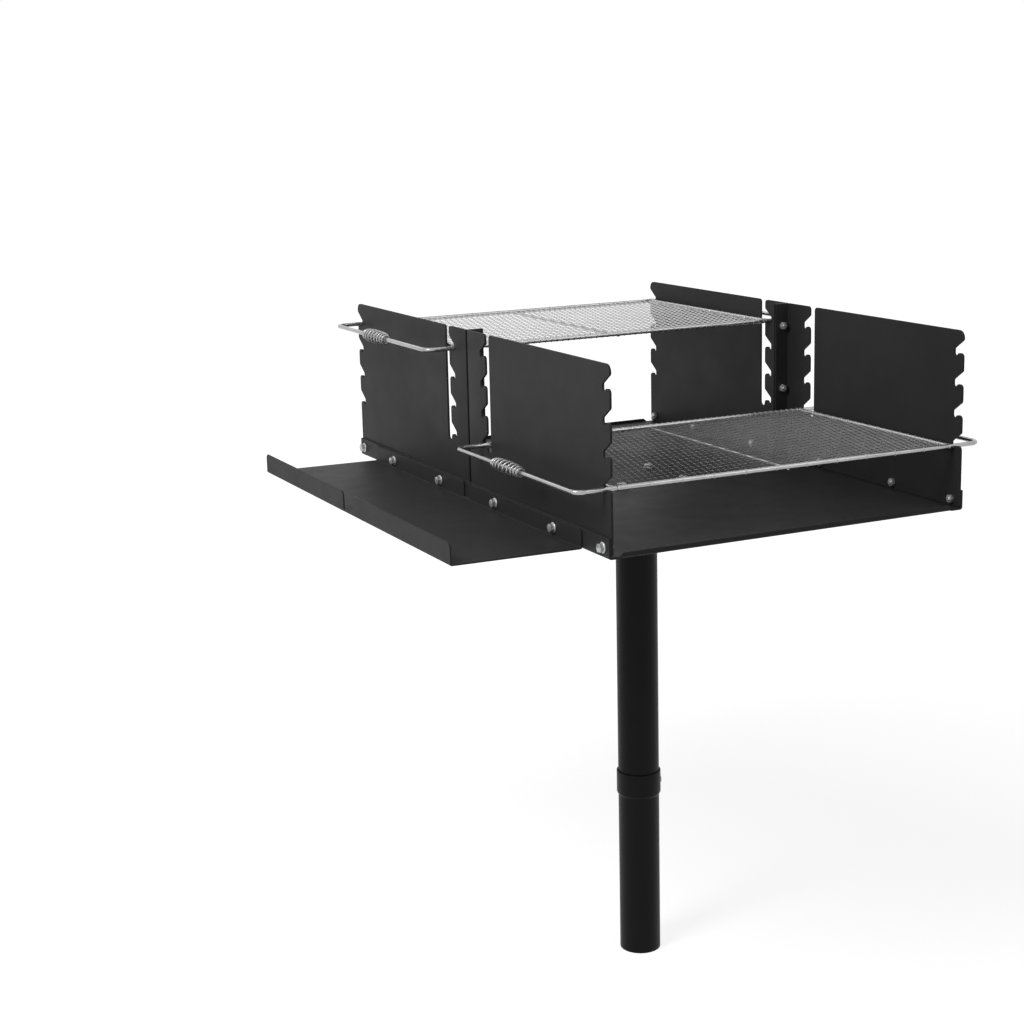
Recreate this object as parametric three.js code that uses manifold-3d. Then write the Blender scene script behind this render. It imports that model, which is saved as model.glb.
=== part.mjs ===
// Public park grill on a pedestal post. Millimetres, +Z up.
// The origin is on the post axis at ground level. The front is -Y and the side shelf is at -X.
import * as THREE from "three";
import { mergeVertices } from "three/addons/utils/BufferGeometryUtils.js";
import Module from "manifold-3d";

const wasm = await Module();
wasm.setup();

// Clearances and counts shared by all pieces
const seatGap = 0.3;
const overrun = 2;
const roundSides = 32;
const boltSides = 8;
const flangeSides = 12;
const holeSides = 8;
const quarterSteps = 3;

// Pedestal
const trayHeight = 720;
const tubeRadius = 30.15;
const tubeWall = 3;
const bellTop = 282;
const bellLength = 38;
const bellWall = 1.95;
const bellClearance = 0.4;
const bellFlare = 5;
const spigotClearance = 0.5;
const spigotWall = 3;
const spigotBelowBell = 140;
const spigotAboveBell = 95;
const lockScrewRadius = 4;
const lockScrewProud = 1.6;
const lockScrewChamfer = 0.6;
const lockScrewDrop = 17;
const lockScrewAngle = (-26 * Math.PI) / 180;
const plateSide = 140;
const plateThickness = 6;
const plateCornerRadius = 12;
const plateBoltPitch = 100;

// Firebox, measured over the outer faces of its walls and from the underside of its tray
const boxWidth = 520;
const boxDepth = 800;
const wallTop = 235;
const wallSheet = 3;
const wallBendRadius = 3.6;
const wallTopCornerRadius = 10;
const wallFootCornerRadius = 3;
const seamFlangeDepth = 24;
const seamBoltInset = 13;
const seamBoltHeights = [111, 203];
const traySheet = 3;
const trayBendRadius = 3.6;
const trayFlangeHeight = 26;
const flangeBoltHeight = 13;
const innerBoltPlace = 90;
const endBoltInset = 15;
const lipHeight = 7.5;
const lipSideInset = 14;

// Hooks of the walls: a wire seat behind a low tooth, under a sloping ceiling
const wireRadius = 3;
const seatRadius = 3.6;
const toothHeight = 3.8;
const toothSlope = (45 * Math.PI) / 180;
const toothInnerRadius = 2;
const toothOuterRadius = 5;
const hookBackHeight = 5.6;
const hookBackRadius = 2.4;
const ceilingSlope = (35 * Math.PI) / 180;
const mouthRadius = 3.2;
const levelTop = 205;
const levelPitch = 40.5;
const levelCount = 4;
const edgeSeatInset = 14;
const channelSeatInset = 13;
const channelNear = 58;
const channelWidth = 12;
const channelMouthRadius = 5;
const channelFootDrop = 8.5;

// Side shelf
const shelfSheet = 2;
const shelfBendRadius = 2.6;
const shelfReach = 177;
const shelfRise = 1.5;
const shelfEndInset = 67;
const shelfBoltInset = 73;
const shelfFlangeHeight = 25;
const shelfLipHeight = 28.5;
const shelfLipCornerRadius = 7;
const shelfFlangeCornerRadius = 3;
const shelfLipGap = 34;
const shelfFlangeGap = 22;

// Grates
const wireSides = 8;
const loopReach = 40;
const loopCornerRadius = 14;
const crossWireInset = 10;
const supportWireRadius = 2;
const cornerSteps = 4;
const weldGap = 0.2;
const weldBeadRadius = 3.7;
const weldBeadLength = 6;
const netThickness = 1.6;
const netBorder = 3;
const netColumns = 7;
const netRows = 16;
const netOpenShare = 0.9;
const frontGrateStepsDown = 3;
const rearGrateStepsDown = 0;

// Wound wire handles
const coilTurns = 9.5;
const coilLength = 78;
const coilRearwardSlide = 12;
const coilWireRadius = 1.25;
const coilEndRadius = 5;
const coilMiddleRadius = 8.8;
const coilSideCount = 5;
const coilStepsPerTurn = 8;
const coilPitchSwingShare = 0.4;
const coilSwellPower = 0.7;

// Fasteners: M6 for the sheets, M8 under the tray
const m6 = { radius: 3, across: 10, head: 6.6, flange: 7.1, flangeThickness: 1.4, nut: 5, tail: 2 };
const m8 = { radius: 4, across: 13, head: 5.3, flange: 8, flangeThickness: 1.6, nut: 6.5, tail: 2 };
const holeClearance = 0.6;

// Finishes
const blackCoat = { color: 0x2b2c2d, roughness: 0.55, metalness: 0.2 };
const blackTube = { color: 0x303133, roughness: 0.5, metalness: 0.25 };
const brightWire = { color: 0xd4d6d8, roughness: 0.25, metalness: 1 };
const netSteel = { color: 0xa9abac, roughness: 0.35, metalness: 1 };
const zinc = { color: 0xb9bcc0, roughness: 0.3, metalness: 1 };

// Places worked out from the sizes above
const halfWidth = boxWidth / 2;
const halfDepth = boxDepth / 2;
const wallFoot = trayBendRadius + seatGap;
const trayHalfWidth = halfWidth + seatGap + traySheet;
const shelfInnerFace = trayHalfWidth + seatGap;
const channelFar = channelNear + channelWidth;
const edgeSeat = halfDepth - edgeSeatInset;
const channelSeat = channelNear - channelSeatInset;
const levels = Array.from({ length: levelCount }, (_, k) => levelTop - k * levelPitch);
const shelfHalfLength = halfDepth - shelfEndInset;
const shelfBoltPlaces = [innerBoltPlace, shelfHalfLength - shelfBoltInset];
const flangeBoltPlaces = [...shelfBoltPlaces, halfDepth - endBoltInset];
const grateSpan = edgeSeat - channelSeat;
const grateMiddle = (edgeSeat + channelSeat) / 2;
const loopHalf = halfWidth + loopReach;

// Solids: a closed geometry as a solid for cutting and joining, and back
function toSolid(geometry) {
  const bare = geometry.index ? geometry.toNonIndexed() : geometry.clone();
  bare.deleteAttribute("normal");
  bare.deleteAttribute("uv");
  const merged = mergeVertices(bare);
  const vertProperties = new Float32Array(merged.attributes.position.array);
  const triVerts = new Uint32Array(merged.index.array);
  return new wasm.Manifold(new wasm.Mesh({ numProp: 3, vertProperties, triVerts }));
}

function toGeometry(solid) {
  const mesh = solid.getMesh();
  const geometry = new THREE.BufferGeometry();
  geometry.setAttribute("position", new THREE.BufferAttribute(mesh.vertProperties, 3));
  geometry.setIndex(new THREE.BufferAttribute(mesh.triVerts, 1));
  const faceted = geometry.toNonIndexed();
  faceted.computeVertexNormals();
  return faceted;
}

function joined(geometries) {
  return geometries.map(toSolid).reduce((whole, next) => whole.add(next));
}

function without(solid, cutters) {
  return cutters.map(toSolid).reduce((whole, next) => whole.subtract(next), solid);
}

// An outline whose corners [x, y, radius] are rounded. Neighbouring arcs share an edge that is
// too short for both in proportion.
function rounded(corners) {
  const points = corners.map(([x, y]) => new THREE.Vector2(x, y));
  const count = points.length;
  const at = (index) => points[(index + count) % count];
  const turns = points.map((point, k) => {
    const back = at(k - 1).clone().sub(point).normalize();
    const ahead = at(k + 1).clone().sub(point).normalize();
    const half = Math.acos(THREE.MathUtils.clamp(back.dot(ahead), -1, 1)) / 2;
    return { point, back, ahead, half, reach: corners[k][2] / Math.tan(half) };
  });
  const edgeShare = turns.map((turn, k) => {
    const next = turns[(k + 1) % count];
    return Math.min(1, turn.point.distanceTo(next.point) / (turn.reach + next.reach || 1));
  });
  const outline = [];
  turns.forEach(({ point, back, ahead, half, reach }, k) => {
    if (reach <= 0) {
      outline.push(point);
      return;
    }
    const fitted = reach * Math.min(edgeShare[k], edgeShare[(k - 1 + count) % count]);
    const start = point.clone().addScaledVector(back, fitted);
    const end = point.clone().addScaledVector(ahead, fitted);
    const radius = fitted * Math.tan(half);
    const middle = back.clone().add(ahead).normalize();
    const centre = point.clone().addScaledVector(middle, radius / Math.sin(half));
    const sweep = Math.PI - 2 * half;
    const steps = Math.max(2, Math.round((quarterSteps * sweep) / (Math.PI / 2)));
    const from = start.clone().sub(centre).angle();
    const to = end.clone().sub(centre).angle();
    const turned = Math.atan2(Math.sin(to - from), Math.cos(to - from));
    for (let step = 0; step <= steps; step += 1) {
      const angle = from + (turned * step) / steps;
      outline.push(new THREE.Vector2(Math.cos(angle), Math.sin(angle)).multiplyScalar(radius).add(centre));
    }
  });
  return outline.filter((point, k) => point.distanceTo(outline[(k + 1) % outline.length]) > seatGap / 100);
}

function mirrored(outline, signX) {
  return outline.map((point) => new THREE.Vector2(signX * point.x, point.y));
}

// Extrusions of an outline along each axis. The outline's own axes become the other two.
function alongZ(outline, from, to) {
  const shape = new THREE.Shape(outline);
  const geometry = new THREE.ExtrudeGeometry(shape, { depth: to - from, bevelEnabled: false });
  return geometry.translate(0, 0, from);
}

function alongX(outline, from, to) {
  const turn = new THREE.Matrix4().makeBasis(
    new THREE.Vector3(0, 1, 0),
    new THREE.Vector3(0, 0, 1),
    new THREE.Vector3(1, 0, 0),
  );
  return alongZ(outline, from, to).applyMatrix4(turn);
}

function alongY(outline, from, to) {
  return alongZ(outline, -to, -from).rotateX(Math.PI / 2);
}

// Round bars and drill cutters along each axis, centred on a point
function rod(axis, radius, length, centre, sides) {
  const geometry = new THREE.CylinderGeometry(radius, radius, length, sides);
  if (axis === "x") geometry.rotateZ(Math.PI / 2);
  if (axis === "z") geometry.rotateX(Math.PI / 2);
  return geometry.translate(centre.x, centre.y, centre.z);
}

function drill(axis, fastener, length, centre) {
  return rod(axis, fastener.radius + holeClearance, length, centre, holeSides);
}

function latheSolid(profile) {
  const points = [...profile, profile[0]].map(([radius, height]) => new THREE.Vector2(radius, height));
  return new THREE.LatheGeometry(points, roundSides).rotateX(Math.PI / 2);
}

function mesh(name, geometry, finish) {
  const piece = new THREE.Mesh(geometry, new THREE.MeshStandardMaterial(finish));
  piece.name = name;
  return piece;
}

function placed(object, x, y, z) {
  object.position.set(x, y, z);
  return object;
}

// Lower post: a tube with its top widened into a bell that takes the upper post
const tubeBore = tubeRadius - tubeWall;
const bellBore = tubeRadius + bellClearance;
const bellOuter = bellBore + bellWall;
const bellFoot = bellTop - bellLength;
const bellSeat = bellFoot + bellFlare;

function lockScrewPlace(radius) {
  const height = bellTop - lockScrewDrop;
  return new THREE.Vector3(Math.cos(lockScrewAngle) * radius, Math.sin(lockScrewAngle) * radius, height);
}

function groundPost() {
  const tube = latheSolid([
    [tubeBore, 0],
    [tubeRadius, 0],
    [tubeRadius, bellFoot],
    [bellOuter, bellSeat],
    [bellOuter, bellTop],
    [bellBore, bellTop],
    [bellBore, bellSeat],
    [tubeBore, bellSeat],
  ]);
  const holeRadius = lockScrewRadius + holeClearance;
  const hole = rod("x", holeRadius, bellOuter, new THREE.Vector3(bellOuter, 0, 0), flangeSides);
  hole.rotateZ(lockScrewAngle).translate(0, 0, bellTop - lockScrewDrop);
  return toGeometry(without(toSolid(tube), [hole]));
}

// Screw through the bell, from the upper tube's face to just proud of the bell
function lockScrew() {
  const length = bellOuter + lockScrewProud - tubeRadius - seatGap;
  const points = [
    [0, 0],
    [lockScrewRadius, 0],
    [lockScrewRadius, length - lockScrewChamfer],
    [lockScrewRadius - lockScrewChamfer, length],
    [0, length],
  ];
  const profile = points.map(([radius, height]) => new THREE.Vector2(radius, height));
  return new THREE.LatheGeometry(profile, flangeSides);
}

function upperPost() {
  const foot = bellSeat + seatGap;
  const top = trayHeight - seatGap - plateThickness - seatGap;
  return latheSolid([
    [tubeBore, foot],
    [tubeRadius, foot],
    [tubeRadius, top],
    [tubeBore, top],
  ]);
}

function spigotTube() {
  const outer = tubeBore - spigotClearance;
  const foot = bellSeat - spigotBelowBell;
  const top = bellSeat + spigotAboveBell;
  return latheSolid([
    [outer - spigotWall, foot],
    [outer, foot],
    [outer, top],
    [outer - spigotWall, top],
  ]);
}

function cornersOf(pitch) {
  const half = pitch / 2;
  return [-half, half].flatMap((x) => [-half, half].map((y) => [x, y]));
}

function postPlate() {
  const half = plateSide / 2;
  const signs = [[-1, -1], [1, -1], [1, 1], [-1, 1]];
  const outline = rounded(signs.map(([x, y]) => [x * half, y * half, plateCornerRadius]));
  const plate = toSolid(alongZ(outline, 0, plateThickness));
  const length = plateThickness + overrun;
  const holes = cornersOf(plateBoltPitch).map(([x, y]) =>
    drill("z", m8, length, new THREE.Vector3(x, y, plateThickness / 2)),
  );
  return toGeometry(without(plate, holes));
}

// Fire tray: a floor with side flanges outside the walls and small lips front and rear
function fireTray() {
  const inner = trayHalfWidth - traySheet;
  const innerBend = trayBendRadius - traySheet;
  const section = rounded([
    [-trayHalfWidth, trayFlangeHeight, 0],
    [-trayHalfWidth, 0, trayBendRadius],
    [trayHalfWidth, 0, trayBendRadius],
    [trayHalfWidth, trayFlangeHeight, 0],
    [inner, trayFlangeHeight, 0],
    [inner, traySheet, innerBend],
    [-inner, traySheet, innerBend],
    [-inner, trayFlangeHeight, 0],
  ]);
  const lipFoot = halfWidth - lipSideInset;
  const lipHead = lipFoot - (lipHeight - traySheet);
  const lipOutline = [
    [-lipFoot, 0],
    [lipFoot, 0],
    [lipFoot, traySheet],
    [lipHead, lipHeight],
    [-lipHead, lipHeight],
    [-lipFoot, traySheet],
  ].map(([x, z]) => new THREE.Vector2(x, z));
  const lips = [-1, 1].map((side) => {
    const faces = [side * halfDepth, side * (halfDepth - traySheet)];
    return alongY(lipOutline, Math.min(...faces), Math.max(...faces));
  });
  const edgeRounding = [
    [halfDepth + overrun, -overrun],
    [halfDepth - traySheet, -overrun],
    [halfDepth - traySheet, 0],
  ].map(([y, z]) => new THREE.Vector2(y, z));
  for (let step = 1; step <= quarterSteps; step += 1) {
    const angle = ((Math.PI / 2) * step) / quarterSteps;
    const y = halfDepth - traySheet + traySheet * Math.sin(angle);
    edgeRounding.push(new THREE.Vector2(y, traySheet - traySheet * Math.cos(angle)));
  }
  edgeRounding.push(new THREE.Vector2(halfDepth + overrun, traySheet));
  const edgeCutters = [-1, 1].map((side) => alongX(mirrored(edgeRounding, side), -lipFoot, lipFoot));
  const flangeHoles = [-1, 1].flatMap((side) =>
    signedPlaces(flangeBoltPlaces).map((y) =>
      drill("x", m6, traySheet + overrun, new THREE.Vector3(side * (trayHalfWidth - traySheet / 2), y, flangeBoltHeight)),
    ),
  );
  const plateHoles = cornersOf(plateBoltPitch).map(([x, y]) =>
    drill("z", m8, traySheet + overrun, new THREE.Vector3(x, y, traySheet / 2)),
  );
  const pan = joined([alongY(section, -halfDepth, halfDepth), ...lips]);
  return toGeometry(without(pan, [...edgeCutters, ...flangeHoles, ...plateHoles]));
}

function signedPlaces(places) {
  return [-1, 1].flatMap((side) => places.map((place) => side * place));
}

// One hook, from the foot of its tooth to the top of its mouth. It is cut into an edge at
// distance "edge" from the seam, with the wire seated "inset" behind that edge.
function hook(edge, inset, wireHeight) {
  const seatFloor = wireHeight - wireRadius - seatGap;
  const toothTop = seatFloor + toothHeight;
  const slopeFoot = inset - seatRadius * Math.tan(toothSlope / 2);
  const slopeHead = slopeFoot - toothHeight / Math.tan(toothSlope);
  const back = inset + seatRadius;
  const backTop = wireHeight + hookBackHeight;
  const mouthTop = backTop + back * Math.tan(ceilingSlope);
  return [
    [edge, toothTop, toothOuterRadius],
    [edge - slopeHead, toothTop, toothInnerRadius],
    [edge - slopeFoot, seatFloor, seatRadius],
    [edge - back, seatFloor, seatRadius],
    [edge - back, backTop, hookBackRadius],
    [edge, mouthTop, mouthRadius],
  ];
}

// Side view of a wall panel: distance from the seam, and height above the tray's underside
function panelOutline() {
  const upwards = [...levels].reverse();
  const channelFoot = levels[levelCount - 1] - channelFootDrop;
  const channelFootRadius = channelWidth / 2;
  return rounded([
    [wallBendRadius, wallFoot, 0],
    [halfDepth, wallFoot, wallFootCornerRadius],
    ...upwards.flatMap((height) => hook(halfDepth, edgeSeatInset, height)),
    [halfDepth, wallTop, wallTopCornerRadius],
    [channelFar, wallTop, channelMouthRadius],
    [channelFar, channelFoot, channelFootRadius],
    [channelNear, channelFoot, channelFootRadius],
    ...upwards.flatMap((height) => hook(channelNear, channelSeatInset, height)),
    [channelNear, wallTop, channelMouthRadius],
    [wallBendRadius, wallTop, 0],
  ]);
}

// Wall panel with its flange turned in at the seam. Its frame is on the seam line, at the outer
// face and the tray's underside. sideX and sideY say which of the four panels it is.
function wallPanel(sideX, sideY) {
  const outline = mirrored(panelOutline(), sideY);
  const sheet = alongX(outline, sideX > 0 ? -wallSheet : 0, sideX > 0 ? 0 : wallSheet);
  const innerBend = wallBendRadius - wallSheet;
  const face = seatGap / 2;
  const stub = wallBendRadius + wallSheet;
  const section = rounded([
    [0, face, wallBendRadius],
    [seamFlangeDepth, face, 0],
    [seamFlangeDepth, face + wallSheet, 0],
    [wallSheet, face + wallSheet, innerBend],
    [wallSheet, stub, 0],
    [0, stub, 0],
  ]).map((point) => new THREE.Vector2(-sideX * point.x, sideY * point.y));
  const flange = alongZ(section, wallFoot, wallTop);
  const seamHoles = seamBoltHeights.map((height) =>
    drill("y", m6, wallSheet + overrun, new THREE.Vector3(-sideX * seamBoltInset, sideY * (face + wallSheet / 2), height)),
  );
  const footHoles = flangeBoltPlaces.map((place) =>
    drill("x", m6, wallSheet + overrun, new THREE.Vector3((-sideX * wallSheet) / 2, sideY * place, flangeBoltHeight)),
  );
  return toGeometry(without(joined([sheet, flange]), [...seamHoles, ...footHoles]));
}

// Cutter for a gap in an upturned edge, flared at its top to round the edge's corners
function gapCutter(gap, foot, top, radius, from, to) {
  const half = gap / 2;
  const outline = [new THREE.Vector2(-half, foot), new THREE.Vector2(half, foot)];
  for (let step = 0; step <= quarterSteps; step += 1) {
    const angle = ((Math.PI / 2) * step) / quarterSteps;
    const y = half + radius - radius * Math.cos(angle);
    outline.push(new THREE.Vector2(y, top - radius + radius * Math.sin(angle)));
  }
  outline.push(new THREE.Vector2(half + radius, top + overrun));
  const leftHalf = mirrored(outline, -1).reverse();
  return alongX([...outline, ...leftHalf], from, to);
}

// Cutter that rounds the top corner at one end of an upturned edge
function cornerCutter(end, side, top, radius, from, to) {
  const outline = [new THREE.Vector2(end + overrun, top - radius), new THREE.Vector2(end + overrun, top + overrun)];
  outline.push(new THREE.Vector2(end - radius, top + overrun));
  for (let step = quarterSteps; step >= 0; step -= 1) {
    const angle = ((Math.PI / 2) * step) / quarterSteps;
    const y = end - radius + radius * Math.cos(angle);
    outline.push(new THREE.Vector2(y, top - radius + radius * Math.sin(angle)));
  }
  return alongX(mirrored(outline, side), from, to);
}

// Side shelf: inner flange bolted to the tray, floor rising gently outwards so that nothing rolls
// off, and an outer lip in two parts
function sideShelf() {
  const near = -shelfInnerFace;
  const far = near - shelfReach;
  const slope = shelfRise / shelfReach;
  const floorTop = (reach) => slope * reach + shelfSheet * Math.hypot(1, slope);
  const lipTop = shelfRise + shelfLipHeight;
  const innerBend = shelfBendRadius - shelfSheet;
  const bendReach = shelfSheet + innerBend;
  const half = shelfHalfLength;
  const section = rounded([
    [far, lipTop, 0],
    [far, shelfRise, shelfBendRadius],
    [near, 0, shelfBendRadius],
    [near, shelfFlangeHeight, 0],
    [near - shelfSheet, shelfFlangeHeight, 0],
    [near - shelfSheet, floorTop(shelfSheet), innerBend],
    [far + shelfSheet, floorTop(shelfReach - shelfSheet), innerBend],
    [far + shelfSheet, lipTop, 0],
  ]);
  const lipRange = [far - overrun, far + bendReach];
  const flangeRange = [near - bendReach, near + overrun];
  const lipFoot = floorTop(shelfReach);
  const flangeFoot = floorTop(bendReach);
  const gaps = [
    gapCutter(shelfLipGap, lipFoot, lipTop, shelfLipCornerRadius, ...lipRange),
    gapCutter(shelfFlangeGap, flangeFoot, shelfFlangeHeight, shelfFlangeCornerRadius, ...flangeRange),
  ];
  const corners = [-1, 1].flatMap((side) => [
    cornerCutter(half, side, lipTop, shelfLipCornerRadius, ...lipRange),
    cornerCutter(half, side, shelfFlangeHeight, shelfFlangeCornerRadius, ...flangeRange),
  ]);
  const holes = signedPlaces(shelfBoltPlaces).map((y) =>
    drill("x", m6, shelfSheet + overrun, new THREE.Vector3(near - shelfSheet / 2, y, flangeBoltHeight)),
  );
  const sheet = toSolid(alongY(section, -half, half));
  return toGeometry(without(sheet, [...gaps, ...corners, ...holes]));
}

// A bent wire is swept over its bend points alone, so its straights take one step each
class BentWire extends THREE.Curve {
  constructor(points) {
    super();
    this.points = points;
  }

  getUtoTmapping(share) {
    return share;
  }

  getPoint(share, target = new THREE.Vector3()) {
    const last = this.points.length - 1;
    const place = THREE.MathUtils.clamp(share, 0, 1) * last;
    const index = Math.min(Math.floor(place), last - 1);
    return target.lerpVectors(this.points[index], this.points[index + 1], place - index);
  }
}

function circle(radius, sides) {
  return Array.from({ length: sides }, (_, k) => {
    const angle = (2 * Math.PI * k) / sides;
    return new THREE.Vector2(Math.cos(angle) * radius, Math.sin(angle) * radius);
  });
}

// Grate frame: one wire bent round as a long loop, butt welded, with a cross wire near each wall
// and a thinner one under the middle of the net
function grateFrame() {
  const half = grateSpan / 2;
  const bends = [
    [loopHalf, half, 0],
    [-loopHalf, half, 1],
    [-loopHalf, -half, 2],
    [loopHalf, -half, 3],
  ];
  const points = [new THREE.Vector3(-weldGap / 2, half, 0)];
  [bends[1], bends[2], bends[3], bends[0]].forEach(([x, y, quarter]) => {
    const centreX = x - Math.sign(x) * loopCornerRadius;
    const centreY = y - Math.sign(y) * loopCornerRadius;
    for (let step = 0; step <= cornerSteps; step += 1) {
      const angle = ((quarter + step / cornerSteps) * Math.PI) / 2;
      const pointX = centreX + loopCornerRadius * Math.cos(angle);
      points.push(new THREE.Vector3(pointX, centreY + loopCornerRadius * Math.sin(angle), 0));
    }
  });
  points.push(new THREE.Vector3(weldGap / 2, half, 0));
  const loop = new THREE.ExtrudeGeometry(new THREE.Shape(circle(wireRadius, wireSides)), {
    steps: points.length - 1,
    extrudePath: new BentWire(points),
    bevelEnabled: false,
  });
  const bead = rod("x", weldBeadRadius, weldBeadLength, new THREE.Vector3(0, half, 0), wireSides);
  const crossX = halfWidth - crossWireInset;
  const crossWires = [-crossX, crossX].map((x) =>
    rod("y", wireRadius, grateSpan, new THREE.Vector3(x, 0, 0), wireSides),
  );
  const supportPlace = new THREE.Vector3(0, 0, -netThickness / 2 - seatGap - supportWireRadius);
  const support = rod("y", supportWireRadius, grateSpan, supportPlace, wireSides);
  return toGeometry(joined([loop, bead, ...crossWires, support]));
}

// Net between the wires of a grate: interleaved diamond gaps inside a plain border
function grateNet() {
  const halfX = halfWidth - crossWireInset - wireRadius - seatGap;
  const halfY = grateSpan / 2 - wireRadius - seatGap;
  const openX = halfX - netBorder;
  const openY = halfY - netBorder;
  const stepX = openX / netColumns;
  const stepY = (2 * openY) / netRows;
  const reachX = stepX * netOpenShare;
  const reachY = stepY * netOpenShare;
  const gaps = [];
  for (let column = 0; column <= 2 * netColumns; column += 1) {
    for (let row = 0; row <= netRows; row += 1) {
      const atSide = column === 0 || column === 2 * netColumns;
      const atEnd = row === 0 || row === netRows;
      if ((column + row) % 2 === 1 || (atSide && atEnd)) continue;
      const x = column * stepX - openX;
      const y = row * stepY - openY;
      const tips = [[x - reachX, y], [x, y - reachY], [x + reachX, y], [x, y + reachY]];
      const kept = tips.filter(([tipX, tipY]) => Math.abs(tipX) < halfX && Math.abs(tipY) < halfY);
      gaps.push(new THREE.Shape(kept.map(([tipX, tipY]) => new THREE.Vector2(tipX, tipY))));
    }
  }
  const sheet = new THREE.BoxGeometry(2 * halfX, 2 * halfY, netThickness);
  const depth = netThickness + overrun;
  const diamonds = new THREE.ExtrudeGeometry(gaps, { depth, bevelEnabled: false });
  const beadPlace = new THREE.Vector3(0, grateSpan / 2, 0);
  const beadRelief = rod("x", weldBeadRadius + seatGap, weldBeadLength + 2 * seatGap, beadPlace, wireSides);
  return toGeometry(without(toSolid(sheet), [diamonds.translate(0, 0, -depth / 2), beadRelief]));
}

// Centre line of a wound handle about the Y axis, narrow at its ends and open in its middle
function coilPoint(share) {
  const angle = 2 * Math.PI * coilTurns * share;
  const swell = Math.sin(Math.PI * share);
  const radius = coilEndRadius + (coilMiddleRadius - coilEndRadius) * Math.pow(swell, coilSwellPower);
  const swing = (coilPitchSwingShare * Math.sin(2 * Math.PI * share)) / (2 * Math.PI);
  const y = coilLength * (share - swing - 1 / 2);
  return new THREE.Vector3(radius * Math.cos(angle), y, radius * Math.sin(angle));
}

function woundHandle(label) {
  const steps = Math.round(coilTurns * coilStepsPerTurn);
  const centres = Array.from({ length: steps + 1 }, (_, k) => coilPoint(k / steps));
  const positions = [];
  centres.forEach((centre, k) => {
    const before = centres[Math.max(k - 1, 0)];
    const after = centres[Math.min(k + 1, steps)];
    const tangent = after.clone().sub(before).normalize();
    const outward = new THREE.Vector3(centre.x, 0, centre.z).normalize();
    const across = new THREE.Vector3().crossVectors(tangent, outward).normalize();
    const normal = new THREE.Vector3().crossVectors(across, tangent);
    for (let side = 0; side < coilSideCount; side += 1) {
      const angle = (2 * Math.PI * side) / coilSideCount;
      const point = centre.clone().addScaledVector(normal, coilWireRadius * Math.cos(angle));
      point.addScaledVector(across, coilWireRadius * Math.sin(angle));
      positions.push(point.x, point.y, point.z);
    }
  });
  const faces = [];
  for (let k = 0; k < steps; k += 1) {
    for (let side = 0; side < coilSideCount; side += 1) {
      const next = (side + 1) % coilSideCount;
      const a = k * coilSideCount + side;
      const b = k * coilSideCount + next;
      const c = b + coilSideCount;
      const d = a + coilSideCount;
      faces.push(a, b, c, a, c, d);
    }
  }
  const lastRing = steps * coilSideCount;
  for (let side = 1; side < coilSideCount - 1; side += 1) {
    faces.push(0, side + 1, side);
    faces.push(lastRing, lastRing + side, lastRing + side + 1);
  }
  const geometry = new THREE.BufferGeometry();
  geometry.setAttribute("position", new THREE.Float32BufferAttribute(positions, 3));
  geometry.setIndex(faces);
  geometry.computeVertexNormals();
  printLeastGap(label, centres);
  return geometry;
}

// Least gap of the wound wire to itself, on points more than half a turn apart
function printLeastGap(label, centres) {
  let least = Infinity;
  centres.forEach((one, k) => {
    centres.slice(k + coilStepsPerTurn / 2).forEach((other) => {
      least = Math.min(least, one.distanceTo(other) - 2 * coilWireRadius);
    });
  });
  console.log(`${label}: least gap to itself ${least.toFixed(2)} mm`);
}

// Fasteners stand on their bearing face at z = 0, with the head or nut above it
function hexPrism(across, height) {
  const radius = across / 2 / Math.cos(Math.PI / 6);
  return alongZ(circle(radius, 6), 0, height);
}

function boltGeometry(size, grip) {
  const length = grip + size.nut + size.tail;
  const shank = alongZ(circle(size.radius, boltSides), -length, size.flangeThickness);
  const flange = alongZ(circle(size.flange, flangeSides), 0, size.flangeThickness);
  return toGeometry(joined([shank, flange, hexPrism(size.across, size.head)]));
}

function nutGeometry(size) {
  const shape = new THREE.Shape(circle(size.across / 2 / Math.cos(Math.PI / 6), 6));
  shape.holes.push(new THREE.Path(circle(size.radius + seatGap, boltSides)));
  return new THREE.ExtrudeGeometry(shape, { depth: size.nut, bevelEnabled: false });
}

function fastener(name, geometry, finish, facing, x, y, z) {
  const piece = placed(mesh(name, geometry, finish), x, y, z);
  piece.rotation.set((-facing.y * Math.PI) / 2, (facing.x * Math.PI) / 2, 0);
  if (facing.z < 0) piece.rotation.x = Math.PI;
  return piece;
}

// Assembly
const grill = new THREE.Group();

const ground = new THREE.Group();
const screw = mesh("lock_screw", lockScrew(), zinc);
screw.rotation.set(0, 0, lockScrewAngle - Math.PI / 2);
screw.position.copy(lockScrewPlace(tubeRadius + seatGap));
ground.add(mesh("ground_post", groundPost(), blackTube), screw);

const upper = new THREE.Group();
upper.add(mesh("upper_post", upperPost(), blackTube));
upper.add(mesh("spigot_tube", spigotTube(), zinc));

const firebox = placed(new THREE.Group(), 0, 0, trayHeight);
firebox.add(placed(mesh("post_plate", postPlate(), blackCoat), 0, 0, -seatGap - plateThickness));
firebox.add(mesh("fire_tray", fireTray(), blackCoat));
firebox.add(mesh("side_shelf", sideShelf(), blackCoat));

const sides = [{ label: "left", sign: -1 }, { label: "right", sign: 1 }];
const ends = [{ label: "front", sign: -1 }, { label: "rear", sign: 1 }];
for (const side of sides) {
  for (const end of ends) {
    const panel = mesh(`${side.label}_${end.label}_wall`, wallPanel(side.sign, end.sign), blackCoat);
    firebox.add(placed(panel, side.sign * halfWidth, 0, 0));
  }
}

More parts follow.
